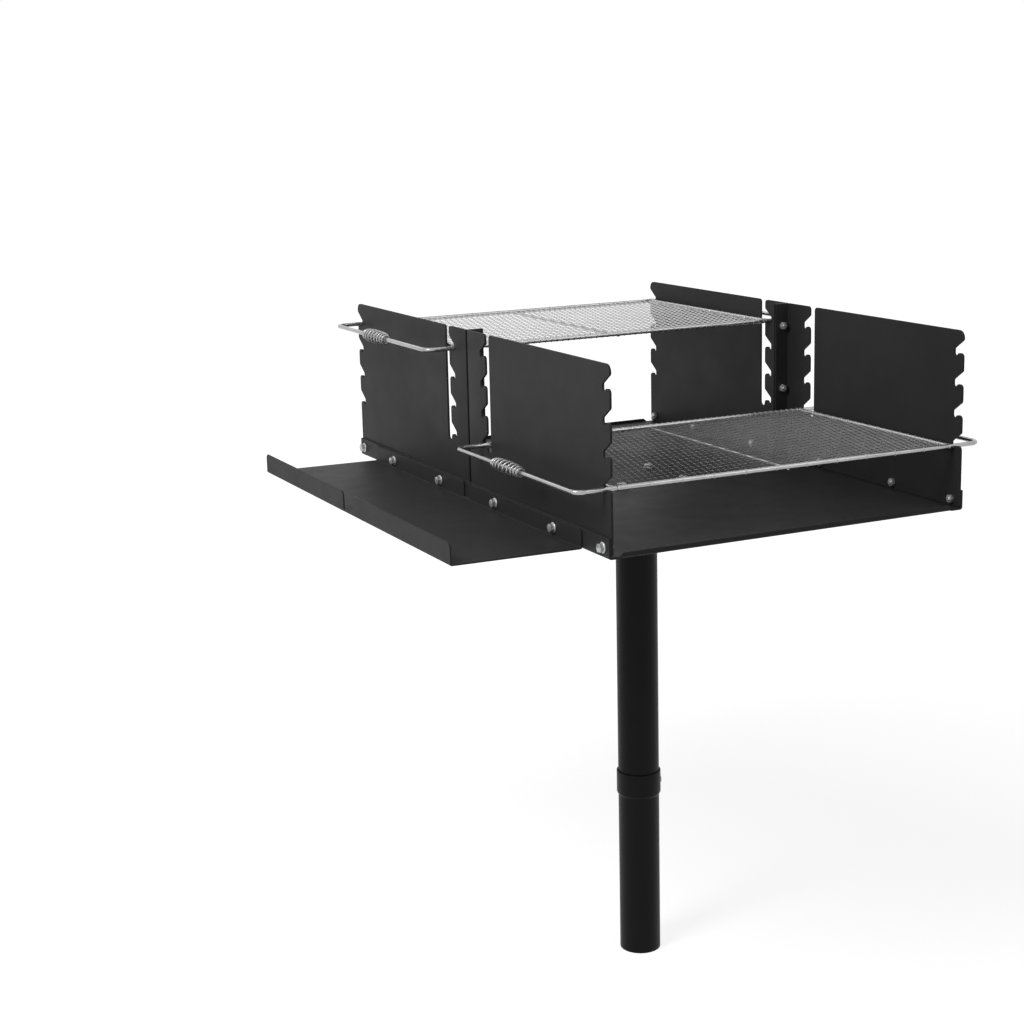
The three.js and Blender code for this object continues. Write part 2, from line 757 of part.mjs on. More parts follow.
// Bolts through the tray flange and the wall, four of them on the left through the shelf too
const flangeGrip = seatGap + traySheet + seatGap + wallSheet + seatGap;
const shelfGrip = flangeGrip + shelfSheet + seatGap;
const sheetNut = nutGeometry(m6);
for (const side of sides) {
  signedPlaces(flangeBoltPlaces).forEach((y, index) => {
    const onShelf = side.sign < 0 && shelfBoltPlaces.includes(Math.abs(y));
    const stack = onShelf ? shelfSheet + seatGap : 0;
    const headX = side.sign * (trayHalfWidth + seatGap + stack);
    const nutX = side.sign * (halfWidth - wallSheet - seatGap);
    const out = new THREE.Vector3(side.sign, 0, 0);
    const bolt = boltGeometry(m6, onShelf ? shelfGrip : flangeGrip);
    const number = index + 1;
    firebox.add(fastener(`${side.label}_flange_bolt_${number}`, bolt, zinc, out, headX, y, flangeBoltHeight));
    const inward = out.clone().negate();
    firebox.add(fastener(`${side.label}_flange_nut_${number}`, sheetNut, zinc, inward, nutX, y, flangeBoltHeight));
  });
}

// Seam bolts have their heads at the rear and their nuts at the front
const seamFace = seatGap / 2 + wallSheet + seatGap;
const seamBolt = boltGeometry(m6, 2 * seamFace);
for (const side of sides) {
  seamBoltHeights.forEach((height, index) => {
    const x = side.sign * (halfWidth - seamBoltInset);
    const number = index + 1;
    const rearward = new THREE.Vector3(0, 1, 0);
    const forward = new THREE.Vector3(0, -1, 0);
    firebox.add(fastener(`${side.label}_seam_bolt_${number}`, seamBolt, zinc, rearward, x, seamFace, height));
    firebox.add(fastener(`${side.label}_seam_nut_${number}`, sheetNut, zinc, forward, x, -seamFace, height));
  });
}

// Bolts that hold the tray on the post plate
const plateGrip = seatGap + traySheet + seatGap + plateThickness + seatGap;
const plateBolt = boltGeometry(m8, plateGrip);
const plateNut = nutGeometry(m8);
cornersOf(plateBoltPitch).forEach(([x, y], index) => {
  const up = new THREE.Vector3(0, 0, 1);
  const down = new THREE.Vector3(0, 0, -1);
  const nutZ = -seatGap - plateThickness - seatGap;
  firebox.add(fastener(`plate_bolt_${index + 1}`, plateBolt, zinc, up, x, y, traySheet + seatGap));
  firebox.add(fastener(`plate_nut_${index + 1}`, plateNut, zinc, down, x, y, nutZ));
});

// Grates: frame, net and the two wound handles move together
const frameGeometry = grateFrame();
const netGeometry = grateNet();
const grates = [
  { label: "front", sign: -1, stepsDown: frontGrateStepsDown },
  { label: "rear", sign: 1, stepsDown: rearGrateStepsDown },
];
for (const { label, sign, stepsDown } of grates) {
  const grate = placed(new THREE.Group(), 0, sign * grateMiddle, levels[stepsDown]);
  if (sign > 0) grate.rotation.z = Math.PI;
  grate.add(mesh(`${label}_grate_frame`, frameGeometry, brightWire));
  grate.add(mesh(`${label}_grate_net`, netGeometry, netSteel));
  for (const side of sides) {
    const name = `${label}_${side.label}_handle`;
    const turned = sign > 0 ? -side.sign : side.sign;
    const handle = mesh(name, woundHandle(name), brightWire);
    grate.add(placed(handle, turned * loopHalf, -sign * coilRearwardSlide, 0));
  }
  firebox.add(grate);
}

upper.add(firebox);
grill.add(ground, upper);

export default grill;
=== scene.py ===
"""Park grill on a pedestal post, modelled over its packed frame.

Every size is in metres. Z is up, the front of the grill is -Y and its side shelf is at -X.
"""

import math

import bmesh
import bpy
from bpy.props import FloatProperty, FloatVectorProperty, IntProperty, PointerProperty
from mathutils import Matrix, Vector


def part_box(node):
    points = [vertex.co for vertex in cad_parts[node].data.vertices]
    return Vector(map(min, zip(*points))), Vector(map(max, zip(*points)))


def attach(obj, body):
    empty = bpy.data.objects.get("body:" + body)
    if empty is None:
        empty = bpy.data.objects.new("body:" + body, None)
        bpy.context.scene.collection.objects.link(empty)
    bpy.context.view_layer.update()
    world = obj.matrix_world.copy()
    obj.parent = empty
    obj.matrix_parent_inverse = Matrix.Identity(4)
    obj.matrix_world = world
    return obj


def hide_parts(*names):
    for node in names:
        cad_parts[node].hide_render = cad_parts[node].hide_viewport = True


bl_info = {
    "name": "Park Grill Builder",
    "version": (1, 0, 0),
    "blender": (4, 5, 0),
    "location": "View3D > Sidebar > Park Grill",
    "description": "Models the sheets, wires, posts and bolts of a park grill over its frame",
    "category": "Object",
}

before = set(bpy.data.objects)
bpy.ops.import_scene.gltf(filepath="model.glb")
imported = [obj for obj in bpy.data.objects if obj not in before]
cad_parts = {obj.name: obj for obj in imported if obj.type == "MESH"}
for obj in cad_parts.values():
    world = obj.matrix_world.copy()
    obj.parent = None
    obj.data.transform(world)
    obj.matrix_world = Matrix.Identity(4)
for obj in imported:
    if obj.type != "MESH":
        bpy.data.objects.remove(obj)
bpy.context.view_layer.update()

SIDES = {"left": -1, "right": 1}
ENDS = {"front": -1, "rear": 1}
X_AXIS = Vector((1, 0, 0))
Y_AXIS = Vector((0, 1, 0))
Z_AXIS = Vector((0, 0, 1))
NEAR = 1e-5
QUARTER = math.pi / 2
FULL_TURN = 2 * math.pi

# Steps and shapes of rounded edges, corners and bends
BEND_STEPS = 6
EDGE_STEPS = 8
CORNER_STEPS = 6
SOFT_STEPS = 2
ROUND_PROFILE = 0.5
SHARP_ANGLE = math.radians(35)

# A rounding stops just short of its edge's end, and those of nearly one reach go together
REACH_SHARE = 0.998
REACH_DIGITS = 7

# Bolts of one grip to this many digits share a pattern
GRIP_DIGITS = 5

# The shelf's edges are rounded by this share of the other sheets'
SHELF_ROUND_SHARE = 0.8

# Places read from the frame
WALL_LOW, WALL_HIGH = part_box("right_rear_wall")
TRAY_LOW, TRAY_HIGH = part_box("fire_tray")
SHELF_LOW, SHELF_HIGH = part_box("side_shelf")
PLATE_LOW, PLATE_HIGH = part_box("post_plate")
UPPER_LOW, UPPER_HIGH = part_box("upper_post")
GROUND_LOW, GROUND_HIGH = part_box("ground_post")
SPIGOT_LOW, SPIGOT_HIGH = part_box("spigot_tube")
SCREW_LOW, SCREW_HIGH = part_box("lock_screw")
HALF_WIDTH = WALL_HIGH.x
HALF_DEPTH = WALL_HIGH.y
TRAY_FOOT = TRAY_LOW.z


def middle(node):
    low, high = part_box(node)
    return (low + high) / 2


def at(value, place):
    """Whether a coordinate is at a place."""
    return abs(value - place) < NEAR


def sizes_of(group):
    """One group of sizes or colours, as it is set in the scene."""
    return getattr(bpy.context.scene, f"park_grill_{group}")


FRONT_NET = middle("front_grate_net")
REAR_NET = middle("rear_grate_net")
LEVEL_COUNT = 4
LEVEL_PITCH = (REAR_NET.z - FRONT_NET.z) / (LEVEL_COUNT - 1)
LEVELS = [FRONT_NET.z + k * LEVEL_PITCH for k in range(LEVEL_COUNT)]


def length(name, description, default):
    return FloatProperty(
        name=name, description=description, default=default, min=0, precision=5, unit="LENGTH"
    )


def angle(name, description, degrees):
    return FloatProperty(
        name=name, description=description, default=math.radians(degrees), unit="ROTATION"
    )


def colour(name, description, default):
    return FloatVectorProperty(
        name=name, description=description, default=default, min=0, max=1, subtype="COLOR"
    )


class ParkGrillSheets(bpy.types.PropertyGroup):
    """Bent sheets of the firebox and the side shelf."""

    wall_sheet: length("Wall sheet", "Thickness of the four wall panels", 0.003)
    wall_bend: length("Wall bend", "Outer radius of the bend at the seam", 0.0036)
    wall_top_corner: length("Wall top corner", "Radius of a panel's top corner", 0.010)
    wall_foot_corner: length("Wall foot corner", "Radius of a panel's bottom corner", 0.003)
    seam_flange: length("Seam flange", "Depth of the flange turned in at the seam", 0.024)
    seam_gap: length("Seam gap", "Half the gap between two panels at the seam", 0.00015)
    tray_sheet: length("Tray sheet", "Thickness of the fire tray", 0.003)
    tray_bend: length("Tray bend", "Outer radius of the tray's side bends", 0.0036)
    lip_bend: length("Lip bend", "Outer radius of the bend under a lip", 0.0036)
    lip_height: length("Lip height", "Height of the lips above the tray's underside", 0.0075)
    lip_side_inset: length("Lip inset", "Distance from a wall's face to the lip's end", 0.014)
    shelf_sheet: length("Shelf sheet", "Thickness of the side shelf", 0.002)
    shelf_bend: length("Shelf bend", "Outer radius of the shelf's bends", 0.0026)
    shelf_rise: length("Shelf rise", "Rise of the floor towards its outer edge", 0.0015)
    shelf_flange: length("Shelf flange", "Height of the flange bolted to the tray", 0.025)
    shelf_lip_gap: length("Lip gap", "Gap in the middle of the outer lip", 0.034)
    shelf_flange_gap: length("Flange gap", "Gap in the middle of the inner flange", 0.022)
    shelf_lip_corner: length("Lip corner", "Radius of the lip's top corners", 0.007)
    shelf_flange_corner: length("Flange corner", "Radius of the flange's top corners", 0.003)
    edge_round: length("Edge rounding", "Rounding of a cut edge under its coat", 0.0006)


class ParkGrillHooks(bpy.types.PropertyGroup):
    """Hooked notches and channels that hold the grates."""

    seat_radius: length("Seat radius", "Radius of the seat under the wire", 0.0036)
    seat_gap: length("Seat gap", "Gap between the wire and its seat", 0.0003)
    tooth_height: length("Tooth height", "Height of the tooth above the seat", 0.0038)
    tooth_slope: angle("Tooth slope", "Slope of the tooth's inner side", 45)
    tooth_inner: length("Tooth inner radius", "Rounding of the tooth at the seat", 0.002)
    tooth_outer: length("Tooth outer radius", "Rounding of the tooth at the edge", 0.005)
    back_height: length("Back height", "Height of the hook's back above the wire", 0.0056)
    back_radius: length("Back radius", "Rounding above the hook's back", 0.0024)
    ceiling_slope: angle("Ceiling slope", "Slope of the ceiling over the wire", 35)
    mouth_radius: length("Mouth radius", "Rounding of the edge over the mouth", 0.0032)
    edge_inset: length("Edge inset", "Distance from the panel's edge to the seat", 0.014)
    channel_inset: length("Channel inset", "Distance from the channel to its seats", 0.013)
    channel_near: length("Channel place", "Distance from the seam to the channel", 0.058)
    channel_width: length("Channel width", "Width of the open channel", 0.012)
    channel_mouth: length("Channel mouth", "Rounding at the top of the channel", 0.005)
    channel_foot_drop: length("Channel foot", "Depth of the channel under its last seat", 0.0085)


class ParkGrillWires(bpy.types.PropertyGroup):
    """Wire frames, nets and wound handles of the grates."""

    wire_radius: length("Wire radius", "Radius of the frame wire", 0.003)
    loop_corner: length("Loop corner", "Centre line radius of the loop's bends", 0.014)
    cross_inset: length("Cross wire inset", "Distance from a wall's face to a cross wire", 0.010)
    support_radius: length("Support radius", "Radius of the wire under the net", 0.002)
    bead_radius: length("Bead radius", "Radius of the butt weld's bead", 0.0037)
    bead_length: length("Bead length", "Length of the butt weld's bead", 0.006)
    net_cell_x: length("Net cell width", "Width of a diamond across the grill", 0.009)
    net_cell_y: length("Net cell length", "Length of a diamond from front to rear", 0.034)
    net_strand: length("Net strand", "Width of a strand of the net", 0.0015)
    net_sheet: length("Net sheet", "Thickness of the net's sheet", 0.0004)
    net_knot: length("Net knot", "Length of the knot where two strands meet", 0.0025)
    net_tilt: angle("Net tilt", "Slant of the strands out of the net's plane", 25)
    net_wrap: length("Net wrap", "Radius of the strand ends round the frame", 0.0005)
    coil_length: length("Coil length", "Length of a wound handle", 0.078)
    coil_wire: length("Coil wire", "Radius of the handle's wire", 0.00125)
    coil_end: length("Coil end", "Radius of the winding at its ends", 0.005)
    coil_middle: length("Coil middle", "Radius of the winding in its middle", 0.0088)
    coil_turns: FloatProperty(name="Coil turns", description="Turns of a handle", default=9.5)
    coil_swing: FloatProperty(
        name="Coil swing", description="How much wider the middle turns lie", default=0.4
    )


class ParkGrillPosts(bpy.types.PropertyGroup):
    """Tubes, plate and fasteners."""

    tube_wall: length("Tube wall", "Wall of the posts", 0.003)
    bell_wall: length("Bell wall", "Wall of the bell", 0.00195)
    bell_length: length("Bell length", "Length of the bell with its flare", 0.038)
    bell_flare: length("Bell flare", "Height over which the bell widens", 0.005)
    rim_round: length("Rim rounding", "Rounding of the tubes' cut rims", 0.0008)
    weld_throat: length("Weld throat", "Size of the weld round the top of the post", 0.006)
    plate_corner: length("Plate corner", "Corner radius of the post plate", 0.012)
    screw_radius: length("Screw radius", "Radius of the lock screw", 0.004)
    screw_socket: length("Screw socket", "Radius of the lock screw's hexagon socket", 0.0022)
    round_steps: IntProperty(name="Round steps", description="Steps of a full turn", default=96)


class ParkGrillFinishes(bpy.types.PropertyGroup):
    """Colours of the finishes."""

    coat: colour("Sheet coat", "Black coat of the sheets", (0.040, 0.040, 0.040))
    coat_worn: colour("Worn coat", "Paler patches of the coat", (0.046, 0.046, 0.046))
    # Painted shade: a near-black colour laid into the seam groove between the wall panels, where shade
    # falls
    groove_shade: colour("Shade", "Soot in the grooves of the walls", (0.002, 0.002, 0.002))
    tube: colour("Tube coat", "Black coat of the posts", (0.011, 0.011, 0.0114))
    tube_worn: colour("Worn tube coat", "Paler patches on the posts", (0.014, 0.014, 0.0146))
    wire: colour("Frame wire", "Drawn stainless wire", (0.52, 0.52, 0.52))
    wire_dull: colour("Dull wire", "Duller patches of the wire", (0.42, 0.42, 0.42))
    net: colour("Net", "Stainless net", (0.56, 0.56, 0.56))
    net_dull: colour("Dull net", "Duller patches of the net", (0.40, 0.40, 0.40))
    zinc: colour("Zinc", "Bright zinc of the bolts", (0.74, 0.75, 0.76))
    zinc_dull: colour("Dull zinc", "Weathered patches of the zinc", (0.52, 0.53, 0.545))
    steel: colour("Bare steel", "Drawn steel of the inner tube", (0.30, 0.29, 0.28))


# Modelling helpers
def deselect_all():
    if bpy.context.mode != "OBJECT":
        bpy.ops.object.mode_set(mode="OBJECT")
    bpy.ops.object.select_all(action="DESELECT")


def activate(piece):
    deselect_all()
    piece.select_set(True)
    bpy.context.view_layer.objects.active = piece


def edit(piece):
    activate(piece)
    bpy.ops.object.mode_set(mode="EDIT")


def object_mode():
    bpy.ops.object.mode_set(mode="OBJECT")


def settle():
    """Move the active object's place, turn and scale into its mesh."""
    bpy.ops.object.transform_apply(location=True, rotation=True, scale=True)


def pick_all():
    bpy.ops.mesh.select_all(action="SELECT")


def start_piece(name, place):
    """A new piece of one vertex at a place, open in edit mode."""
    deselect_all()
    bpy.ops.mesh.primitive_plane_add(size=1, location=place)
    piece = bpy.context.object
    piece.name = name
    piece.data.name = name
    settle()
    bpy.ops.object.mode_set(mode="EDIT")
    bpy.ops.mesh.select_mode(type="VERT")
    pick_all()
    bpy.ops.mesh.merge(type="CENTER")
    return piece


def draw_on(places):
    """Extrude the selected end of a line through each place after the first."""
    for here, there in zip(places, places[1:]):
        bpy.ops.mesh.extrude_vertices_move(TRANSFORM_OT_translate={"value": there - here})


def start_line(name, places):
    piece = start_piece(name, places[0])
    draw_on(places)
    return piece


def pick(piece, kind, test):
    """Select the vertices, edges or faces whose vertices all pass the test, and nothing else."""
    bpy.ops.mesh.select_mode(type=kind)
    bpy.ops.mesh.select_all(action="DESELECT")
    cage = bmesh.from_edit_mesh(piece.data)
    found = 0
    for element in {"VERT": cage.verts, "EDGE": cage.edges, "FACE": cage.faces}[kind]:
        corners = [element] if kind == "VERT" else element.verts
        if all(test(corner.co) for corner in corners):
            element.select_set(True)
            found += 1
    cage.select_flush_mode()
    bmesh.update_edit_mesh(piece.data)
    if not found:
        raise RuntimeError(f"nothing to pick on {piece.name}")


def shift(x=0.0, y=0.0, z=0.0):
    bpy.ops.transform.translate(value=(x, y, z))


def extrude_edges(x=0.0, y=0.0, z=0.0):
    bpy.ops.mesh.extrude_edges_move(TRANSFORM_OT_translate={"value": (x, y, z)})


def bend_edges(turn, centre, axis):
    """Carry the selected edges round a bend. Spin turns clockwise, so the turn is negated."""
    bpy.ops.mesh.spin(steps=BEND_STEPS, angle=-turn, center=centre, axis=axis)


def round_edges(radius):
    bpy.ops.mesh.bevel(
        offset_type="OFFSET",
        offset=radius,
        segments=EDGE_STEPS,
        profile=ROUND_PROFILE,
        affect="EDGES",
    )


def round_vertices(reach, segments=CORNER_STEPS):
    bpy.ops.mesh.bevel(
        offset_type="OFFSET",
        offset=reach,
        segments=segments,
        profile=ROUND_PROFILE,
        affect="VERTICES",
    )


def cut_across(place, normal):
    bpy.ops.mesh.bisect(plane_co=place, plane_no=normal)


def merge_doubles():
    pick_all()
    bpy.ops.mesh.remove_doubles(threshold=NEAR)


def face_outwards():
    merge_doubles()
    bpy.ops.mesh.normals_make_consistent(inside=False)


def apply_modifier(piece, kind, **settings):
    activate(piece)
    bpy.ops.object.modifier_add(type=kind)
    modifier = piece.modifiers[-1]
    for setting, value in settings.items():
        setattr(modifier, setting, value)
    bpy.ops.object.modifier_apply(modifier=modifier.name)


def soften(piece, width):
    """Round every sharp edge, with flat faces kept flat."""
    activate(piece)
    bpy.ops.object.shade_smooth()
    apply_modifier(
        piece,
        "BEVEL",
        width=width,
        segments=SOFT_STEPS,
        limit_method="ANGLE",
        angle_limit=SHARP_ANGLE,
        harden_normals=True,
        miter_outer="MITER_ARC",
    )


def face_towards(piece, direction):
    """Turn a sheet's normals so that its largest face looks along a direction."""
    largest = max(piece.data.polygons, key=lambda face: face.area)
    if largest.normal.dot(direction) < 0:
        piece.data.flip_normals()


def thicken(piece, outward, thickness, edge_round):
    """Thicken a sheet behind the side that looks outward, and round its cut edges."""
    face_towards(piece, outward)
    apply_modifier(
        piece,
        "SOLIDIFY",
        thickness=thickness,
        offset=-1,
        use_even_offset=True,
        use_quality_normals=True,
    )
    soften(piece, edge_round)


def copy_of(piece, name, matrix):
    """A copy with its own mesh, moved inside that mesh."""
    copy = piece.copy()
    copy.data = piece.data.copy()
    copy.name = name
    copy.data.name = name
    bpy.context.collection.objects.link(copy)
    copy.data.transform(matrix)
    if matrix.determinant() < 0:
        copy.data.flip_normals()
    return copy


def discard(piece):
    bpy.data.objects.remove(piece, do_unlink=True)


def join_pieces(pieces, name):
    deselect_all()
    for piece in pieces:
        piece.select_set(True)
    bpy.context.view_layer.objects.active = pieces[0]
    bpy.ops.object.join()
    whole = bpy.context.object
    whole.name = name
    whole.data.name = name
    return whole


def corner_reaches(corners):
    """How far along its edges each rounding reaches. Two that share a short edge share it fairly."""
    count = len(corners)
    points = [Vector(corner[:2]) for corner in corners]
    reaches = []
    for index, corner in enumerate(corners):
        back = points[index - 1] - points[index]
        ahead = points[(index + 1) % count] - points[index]
        reaches.append(corner[2] / math.tan(back.angle(ahead) / 2))
    shares = []
    for index in range(count):
        after = (index + 1) % count
        wanted = reaches[index] + reaches[after]
        edge = (points[after] - points[index]).length
        shares.append(min(1, edge / wanted) if wanted else 1)
    return [reaches[index] * min(shares[index], shares[index - 1]) for index in range(count)]


def round_outline(piece, corners, place_of):
    """Round the corners of a filled outline, those of one reach together."""
    groups = {}
    for corner, reach in zip(corners, corner_reaches(corners)):
        if reach > NEAR:
            groups.setdefault(round(reach * REACH_SHARE, REACH_DIGITS), []).append(place_of(corner))
    for reach, places in groups.items():
        pick(piece, "VERT", lambda co: any((co - place).length < NEAR for place in places))
        round_vertices(reach)


def spun(name, profile, steps=None):
    """A closed profile of (radius, height) places turned about the Z axis."""
    piece = start_line(name, [Vector((radius, 0, height)) for radius, height in profile])
    merge_doubles()
    pick_all()
    steps = steps or sizes_of("posts").round_steps
    bpy.ops.mesh.spin(steps=steps, angle=FULL_TURN, center=(0, 0, 0), axis=Z_AXIS)
    face_outwards()
    object_mode()
    return piece


def give(piece, material, body, slot, *nodes):
    """Finish a piece: its material, its body and what it replaces. The slot of its finish is not used.
    """
    piece.data.materials.clear()
    piece.data.materials.append(bpy.data.materials[material])
    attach(piece, body)
    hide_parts(*nodes)


# Materials
def nodes_of(name):
    material = bpy.data.materials.new(name)
    material.use_nodes = True
    tree = material.node_tree
    return material, tree, tree.nodes["Principled BSDF"]


def add_node(tree, kind, **settings):
    node = tree.nodes.new(kind)
    for setting, value in settings.items():
        setattr(node, setting, value)
    return node


def feed(tree, value, socket):
    """Link an output to a socket, or set the socket to a number or a colour."""
    if isinstance(value, bpy.types.NodeSocket):
        tree.links.new(value, socket)
    else:
        socket.default_value = value


def calculate(tree, operation, *values):
    """A Math node fed with outputs or numbers."""
    node = add_node(tree, "ShaderNodeMath", operation=operation)
    for value, socket in zip(values, node.inputs):
        feed(tree, value, socket)
    return node.outputs["Value"]


def object_coordinates(tree):
    return add_node(tree, "ShaderNodeTexCoord").outputs["Object"]


def opaque(tone):
    return (*tone, 1)


def noise(tree, scale, detail=3.0, roughness=0.55, stretch=(1, 1, 1)):
    """Noise in the object's own coordinates, stretched along an axis if asked."""
    mapping = add_node(tree, "ShaderNodeMapping")
    mapping.inputs["Scale"].default_value = stretch
    tree.links.new(object_coordinates(tree), mapping.inputs["Vector"])
    pattern = add_node(tree, "ShaderNodeTexNoise")
    pattern.inputs["Scale"].default_value = scale
    pattern.inputs["Detail"].default_value = detail
    pattern.inputs["Roughness"].default_value = roughness
    tree.links.new(mapping.outputs["Vector"], pattern.inputs["Vector"])
    return pattern.outputs["Fac"]


def spread(tree, value, low, high, to_low=0.0, to_high=1.0):
    """A value's range stretched onto another."""
    ramp = add_node(tree, "ShaderNodeMapRange", clamp=True)
    tree.links.new(value, ramp.inputs["Value"])
    ramp.inputs["From Min"].default_value = low
    ramp.inputs["From Max"].default_value = high
    ramp.inputs["To Min"].default_value = to_low
    ramp.inputs["To Max"].default_value = to_high
    return ramp.outputs["Result"]


def blend_colours(tree, factor, first, second):
    mix = add_node(tree, "ShaderNodeMix", data_type="RGBA")
    tree.links.new(factor, mix.inputs["Factor"])
    feed(tree, first, mix.inputs["A"])
    feed(tree, second, mix.inputs["B"])
    return mix.outputs["Result"]


def bump(tree, shader, height, strength, distance, below=None):
    node = add_node(tree, "ShaderNodeBump")
    node.inputs["Strength"].default_value = strength
    node.inputs["Distance"].default_value = distance
    tree.links.new(height, node.inputs["Height"])
    if below:
        tree.links.new(below, node.inputs["Normal"])
    tree.links.new(node.outputs["Normal"], shader.inputs["Normal"])
    return node.outputs["Normal"]


def coat_material(name, clean, worn, roughness, grain, depth):
    """Powder coat: faint mottling, a fine orange peel and a few dull patches."""
    material, tree, shader = nodes_of(name)
    clouds = spread(tree, noise(tree, scale=9.0, detail=4.0), low=0.35, high=0.68)
    mottling = blend_colours(tree, clouds, opaque(clean), opaque(worn))
    tree.links.new(mottling, shader.inputs["Base Color"])
    patches = noise(tree, scale=26.0, detail=5.0, roughness=0.6)
    dullness = spread(tree, patches, 0.3, 0.75, to_low=roughness - 0.03, to_high=roughness + 0.05)
    tree.links.new(dullness, shader.inputs["Roughness"])
    ripple = bump(tree, shader, noise(tree, scale=60.0, detail=2.0), strength=0.06, distance=0.0006)
    peel = noise(tree, scale=grain, detail=2.0, roughness=0.5)
    bump(tree, shader, peel, strength=depth, distance=0.00015, below=ripple)
    shader.inputs["Specular IOR Level"].default_value = 0.10
    return material


def wall_material(name, clean, worn, groove_shade, **coat):
    """The sheets' coat with painted shade in the groove between two panels at y = 0."""
    tree = coat_material(name, clean, worn, **coat).node_tree
    base = tree.nodes["Principled BSDF"].inputs["Base Color"]
    mottling = base.links[0].from_socket
    axes = add_node(tree, "ShaderNodeSeparateXYZ")
    tree.links.new(object_coordinates(tree), axes.inputs["Vector"])
    away = calculate(tree, "ABSOLUTE", axes.outputs["Y"])
    # Painted shade: the coat is near-black within 2 mm of the seam at y = 0 and blends back to the coat
    # by 3.2 mm
    groove = spread(tree, away, low=0.0020, high=0.0032)
    tree.links.new(blend_colours(tree, groove, opaque(groove_shade), mottling), base)


def metal_material(name, bright, dull, metallic, roughness, patch, grain, depth, stretch=(1, 1, 1)):
    """Bare metal: patches of dullness, a streaked roughness and a fine grain."""
    _, tree, shader = nodes_of(name)
    shader.inputs["Metallic"].default_value = metallic
    patches = spread(tree, noise(tree, scale=patch, detail=4.0, roughness=0.6), low=0.35, high=0.7)
    tarnish = blend_colours(tree, patches, opaque(bright), opaque(dull))
    tree.links.new(tarnish, shader.inputs["Base Color"])
    streaks = noise(tree, scale=grain, detail=3.0, roughness=0.6, stretch=stretch)
    polish = spread(tree, streaks, 0.25, 0.75, to_low=roughness - 0.06, to_high=roughness + 0.12)
    tree.links.new(polish, shader.inputs["Roughness"])
    bump(tree, shader, streaks, strength=depth, distance=0.0001)


def zinc_material(name, bright, dull):
    """Bright zinc: small crystals of unlike tone, duller where weathered."""
    _, tree, shader = nodes_of(name)
    shader.inputs["Metallic"].default_value = 0.45
    crystals = add_node(tree, "ShaderNodeTexVoronoi", feature="F1")
    crystals.inputs["Scale"].default_value = 620.0
    tree.links.new(object_coordinates(tree), crystals.inputs["Vector"])
    tone = add_node(tree, "ShaderNodeSeparateColor")
    tree.links.new(crystals.outputs["Color"], tone.inputs["Color"])
    weather = noise(tree, scale=140.0, detail=4.0, roughness=0.65)
    stains = spread(tree, weather, 0.35, 0.7, to_high=0.65)
    worn = calculate(tree, "MULTIPLY_ADD", tone.outputs["Red"], 0.35, stains)
    tree.links.new(blend_colours(tree, worn, opaque(bright), opaque(dull)), shader.inputs["Base Color"])
    polish = spread(tree, weather, 0.3, 0.75, to_low=0.26, to_high=0.46)
    tree.links.new(polish, shader.inputs["Roughness"])
    bump(tree, shader, weather, strength=0.15, distance=0.0001)


def make_materials():
    tones = sizes_of("finishes")
    sheet = {"roughness": 0.5, "grain": 900.0, "depth": 0.22}
    coat_material("powder_coat", tones.coat, tones.coat_worn, **sheet)
    wall_material("wall_coat", tones.coat, tones.coat_worn, tones.groove_shade, **sheet)
    coat_material("tube_coat", tones.tube, tones.tube_worn, roughness=0.42, grain=1100.0, depth=0.16)
    metal_material(
        "drawn_wire",
        tones.wire,
        tones.wire_dull,
        metallic=0.65,
        roughness=0.2,
        patch=45.0,
        grain=1500.0,
        depth=0.12,
        stretch=(0.15, 0.15, 1),
    )
    metal_material(
        "net_steel",
        tones.net,
        tones.net_dull,
        metallic=0.7,
        roughness=0.26,
        patch=60.0,
        grain=2200.0,
        depth=0.12,
    )
    metal_material(
        "inner_steel",
        tones.steel,
        tones.steel,
        metallic=1.0,
        roughness=0.38,
        patch=40.0,
        grain=700.0,
        depth=0.2,
        stretch=(1, 1, 0.05),
    )
    zinc_material("zinc_plate", tones.zinc, tones.zinc_dull)


# Firebox walls
def hook_corners(sizes, edge, inset, wire_height):
    """One hook cut into an edge, from the foot of its tooth to the top of its mouth."""
    wires = sizes_of("wires")
    seat_floor = wire_height - wires.wire_radius - sizes.seat_gap
    tooth_top = seat_floor + sizes.tooth_height
    slope_foot = inset - sizes.seat_radius * math.tan(sizes.tooth_slope / 2)
    slope_head = slope_foot - sizes.tooth_height / math.tan(sizes.tooth_slope)
    back = inset + sizes.seat_radius
    back_top = wire_height + sizes.back_height
    mouth_top = back_top + back * math.tan(sizes.ceiling_slope)
    return [
        (edge, tooth_top, sizes.tooth_outer),
        (edge - slope_head, tooth_top, sizes.tooth_inner),
        (edge - slope_foot, seat_floor, sizes.seat_radius),
        (edge - back, seat_floor, sizes.seat_radius),
        (edge - back, back_top, sizes.back_radius),
        (edge, mouth_top, sizes.mouth_radius),
    ]


def panel_corners():
    """Side view of a panel: distance from the seam, height and radius of each corner."""
    sheets = sizes_of("sheets")
    hooks = sizes_of("hooks")
    start = sheets.seam_gap + sheets.wall_bend
    near = hooks.channel_near
    far = near + hooks.channel_width
    foot = LEVELS[0] - hooks.channel_foot_drop
    corners = [(start, WALL_LOW.z, 0), (HALF_DEPTH, WALL_LOW.z, sheets.wall_foot_corner)]
    for height in LEVELS:
        corners += hook_corners(hooks, HALF_DEPTH, hooks.edge_inset, height)
    corners += [
        (HALF_DEPTH, WALL_HIGH.z, sheets.wall_top_corner),
        (far, WALL_HIGH.z, hooks.channel_mouth),
        (far, foot, hooks.channel_width / 2),
        (near, foot, hooks.channel_width / 2),
    ]
    for height in LEVELS:
        corners += hook_corners(hooks, near, hooks.channel_inset, height)
    return corners + [(near, WALL_HIGH.z, hooks.channel_mouth), (start, WALL_HIGH.z, 0)]


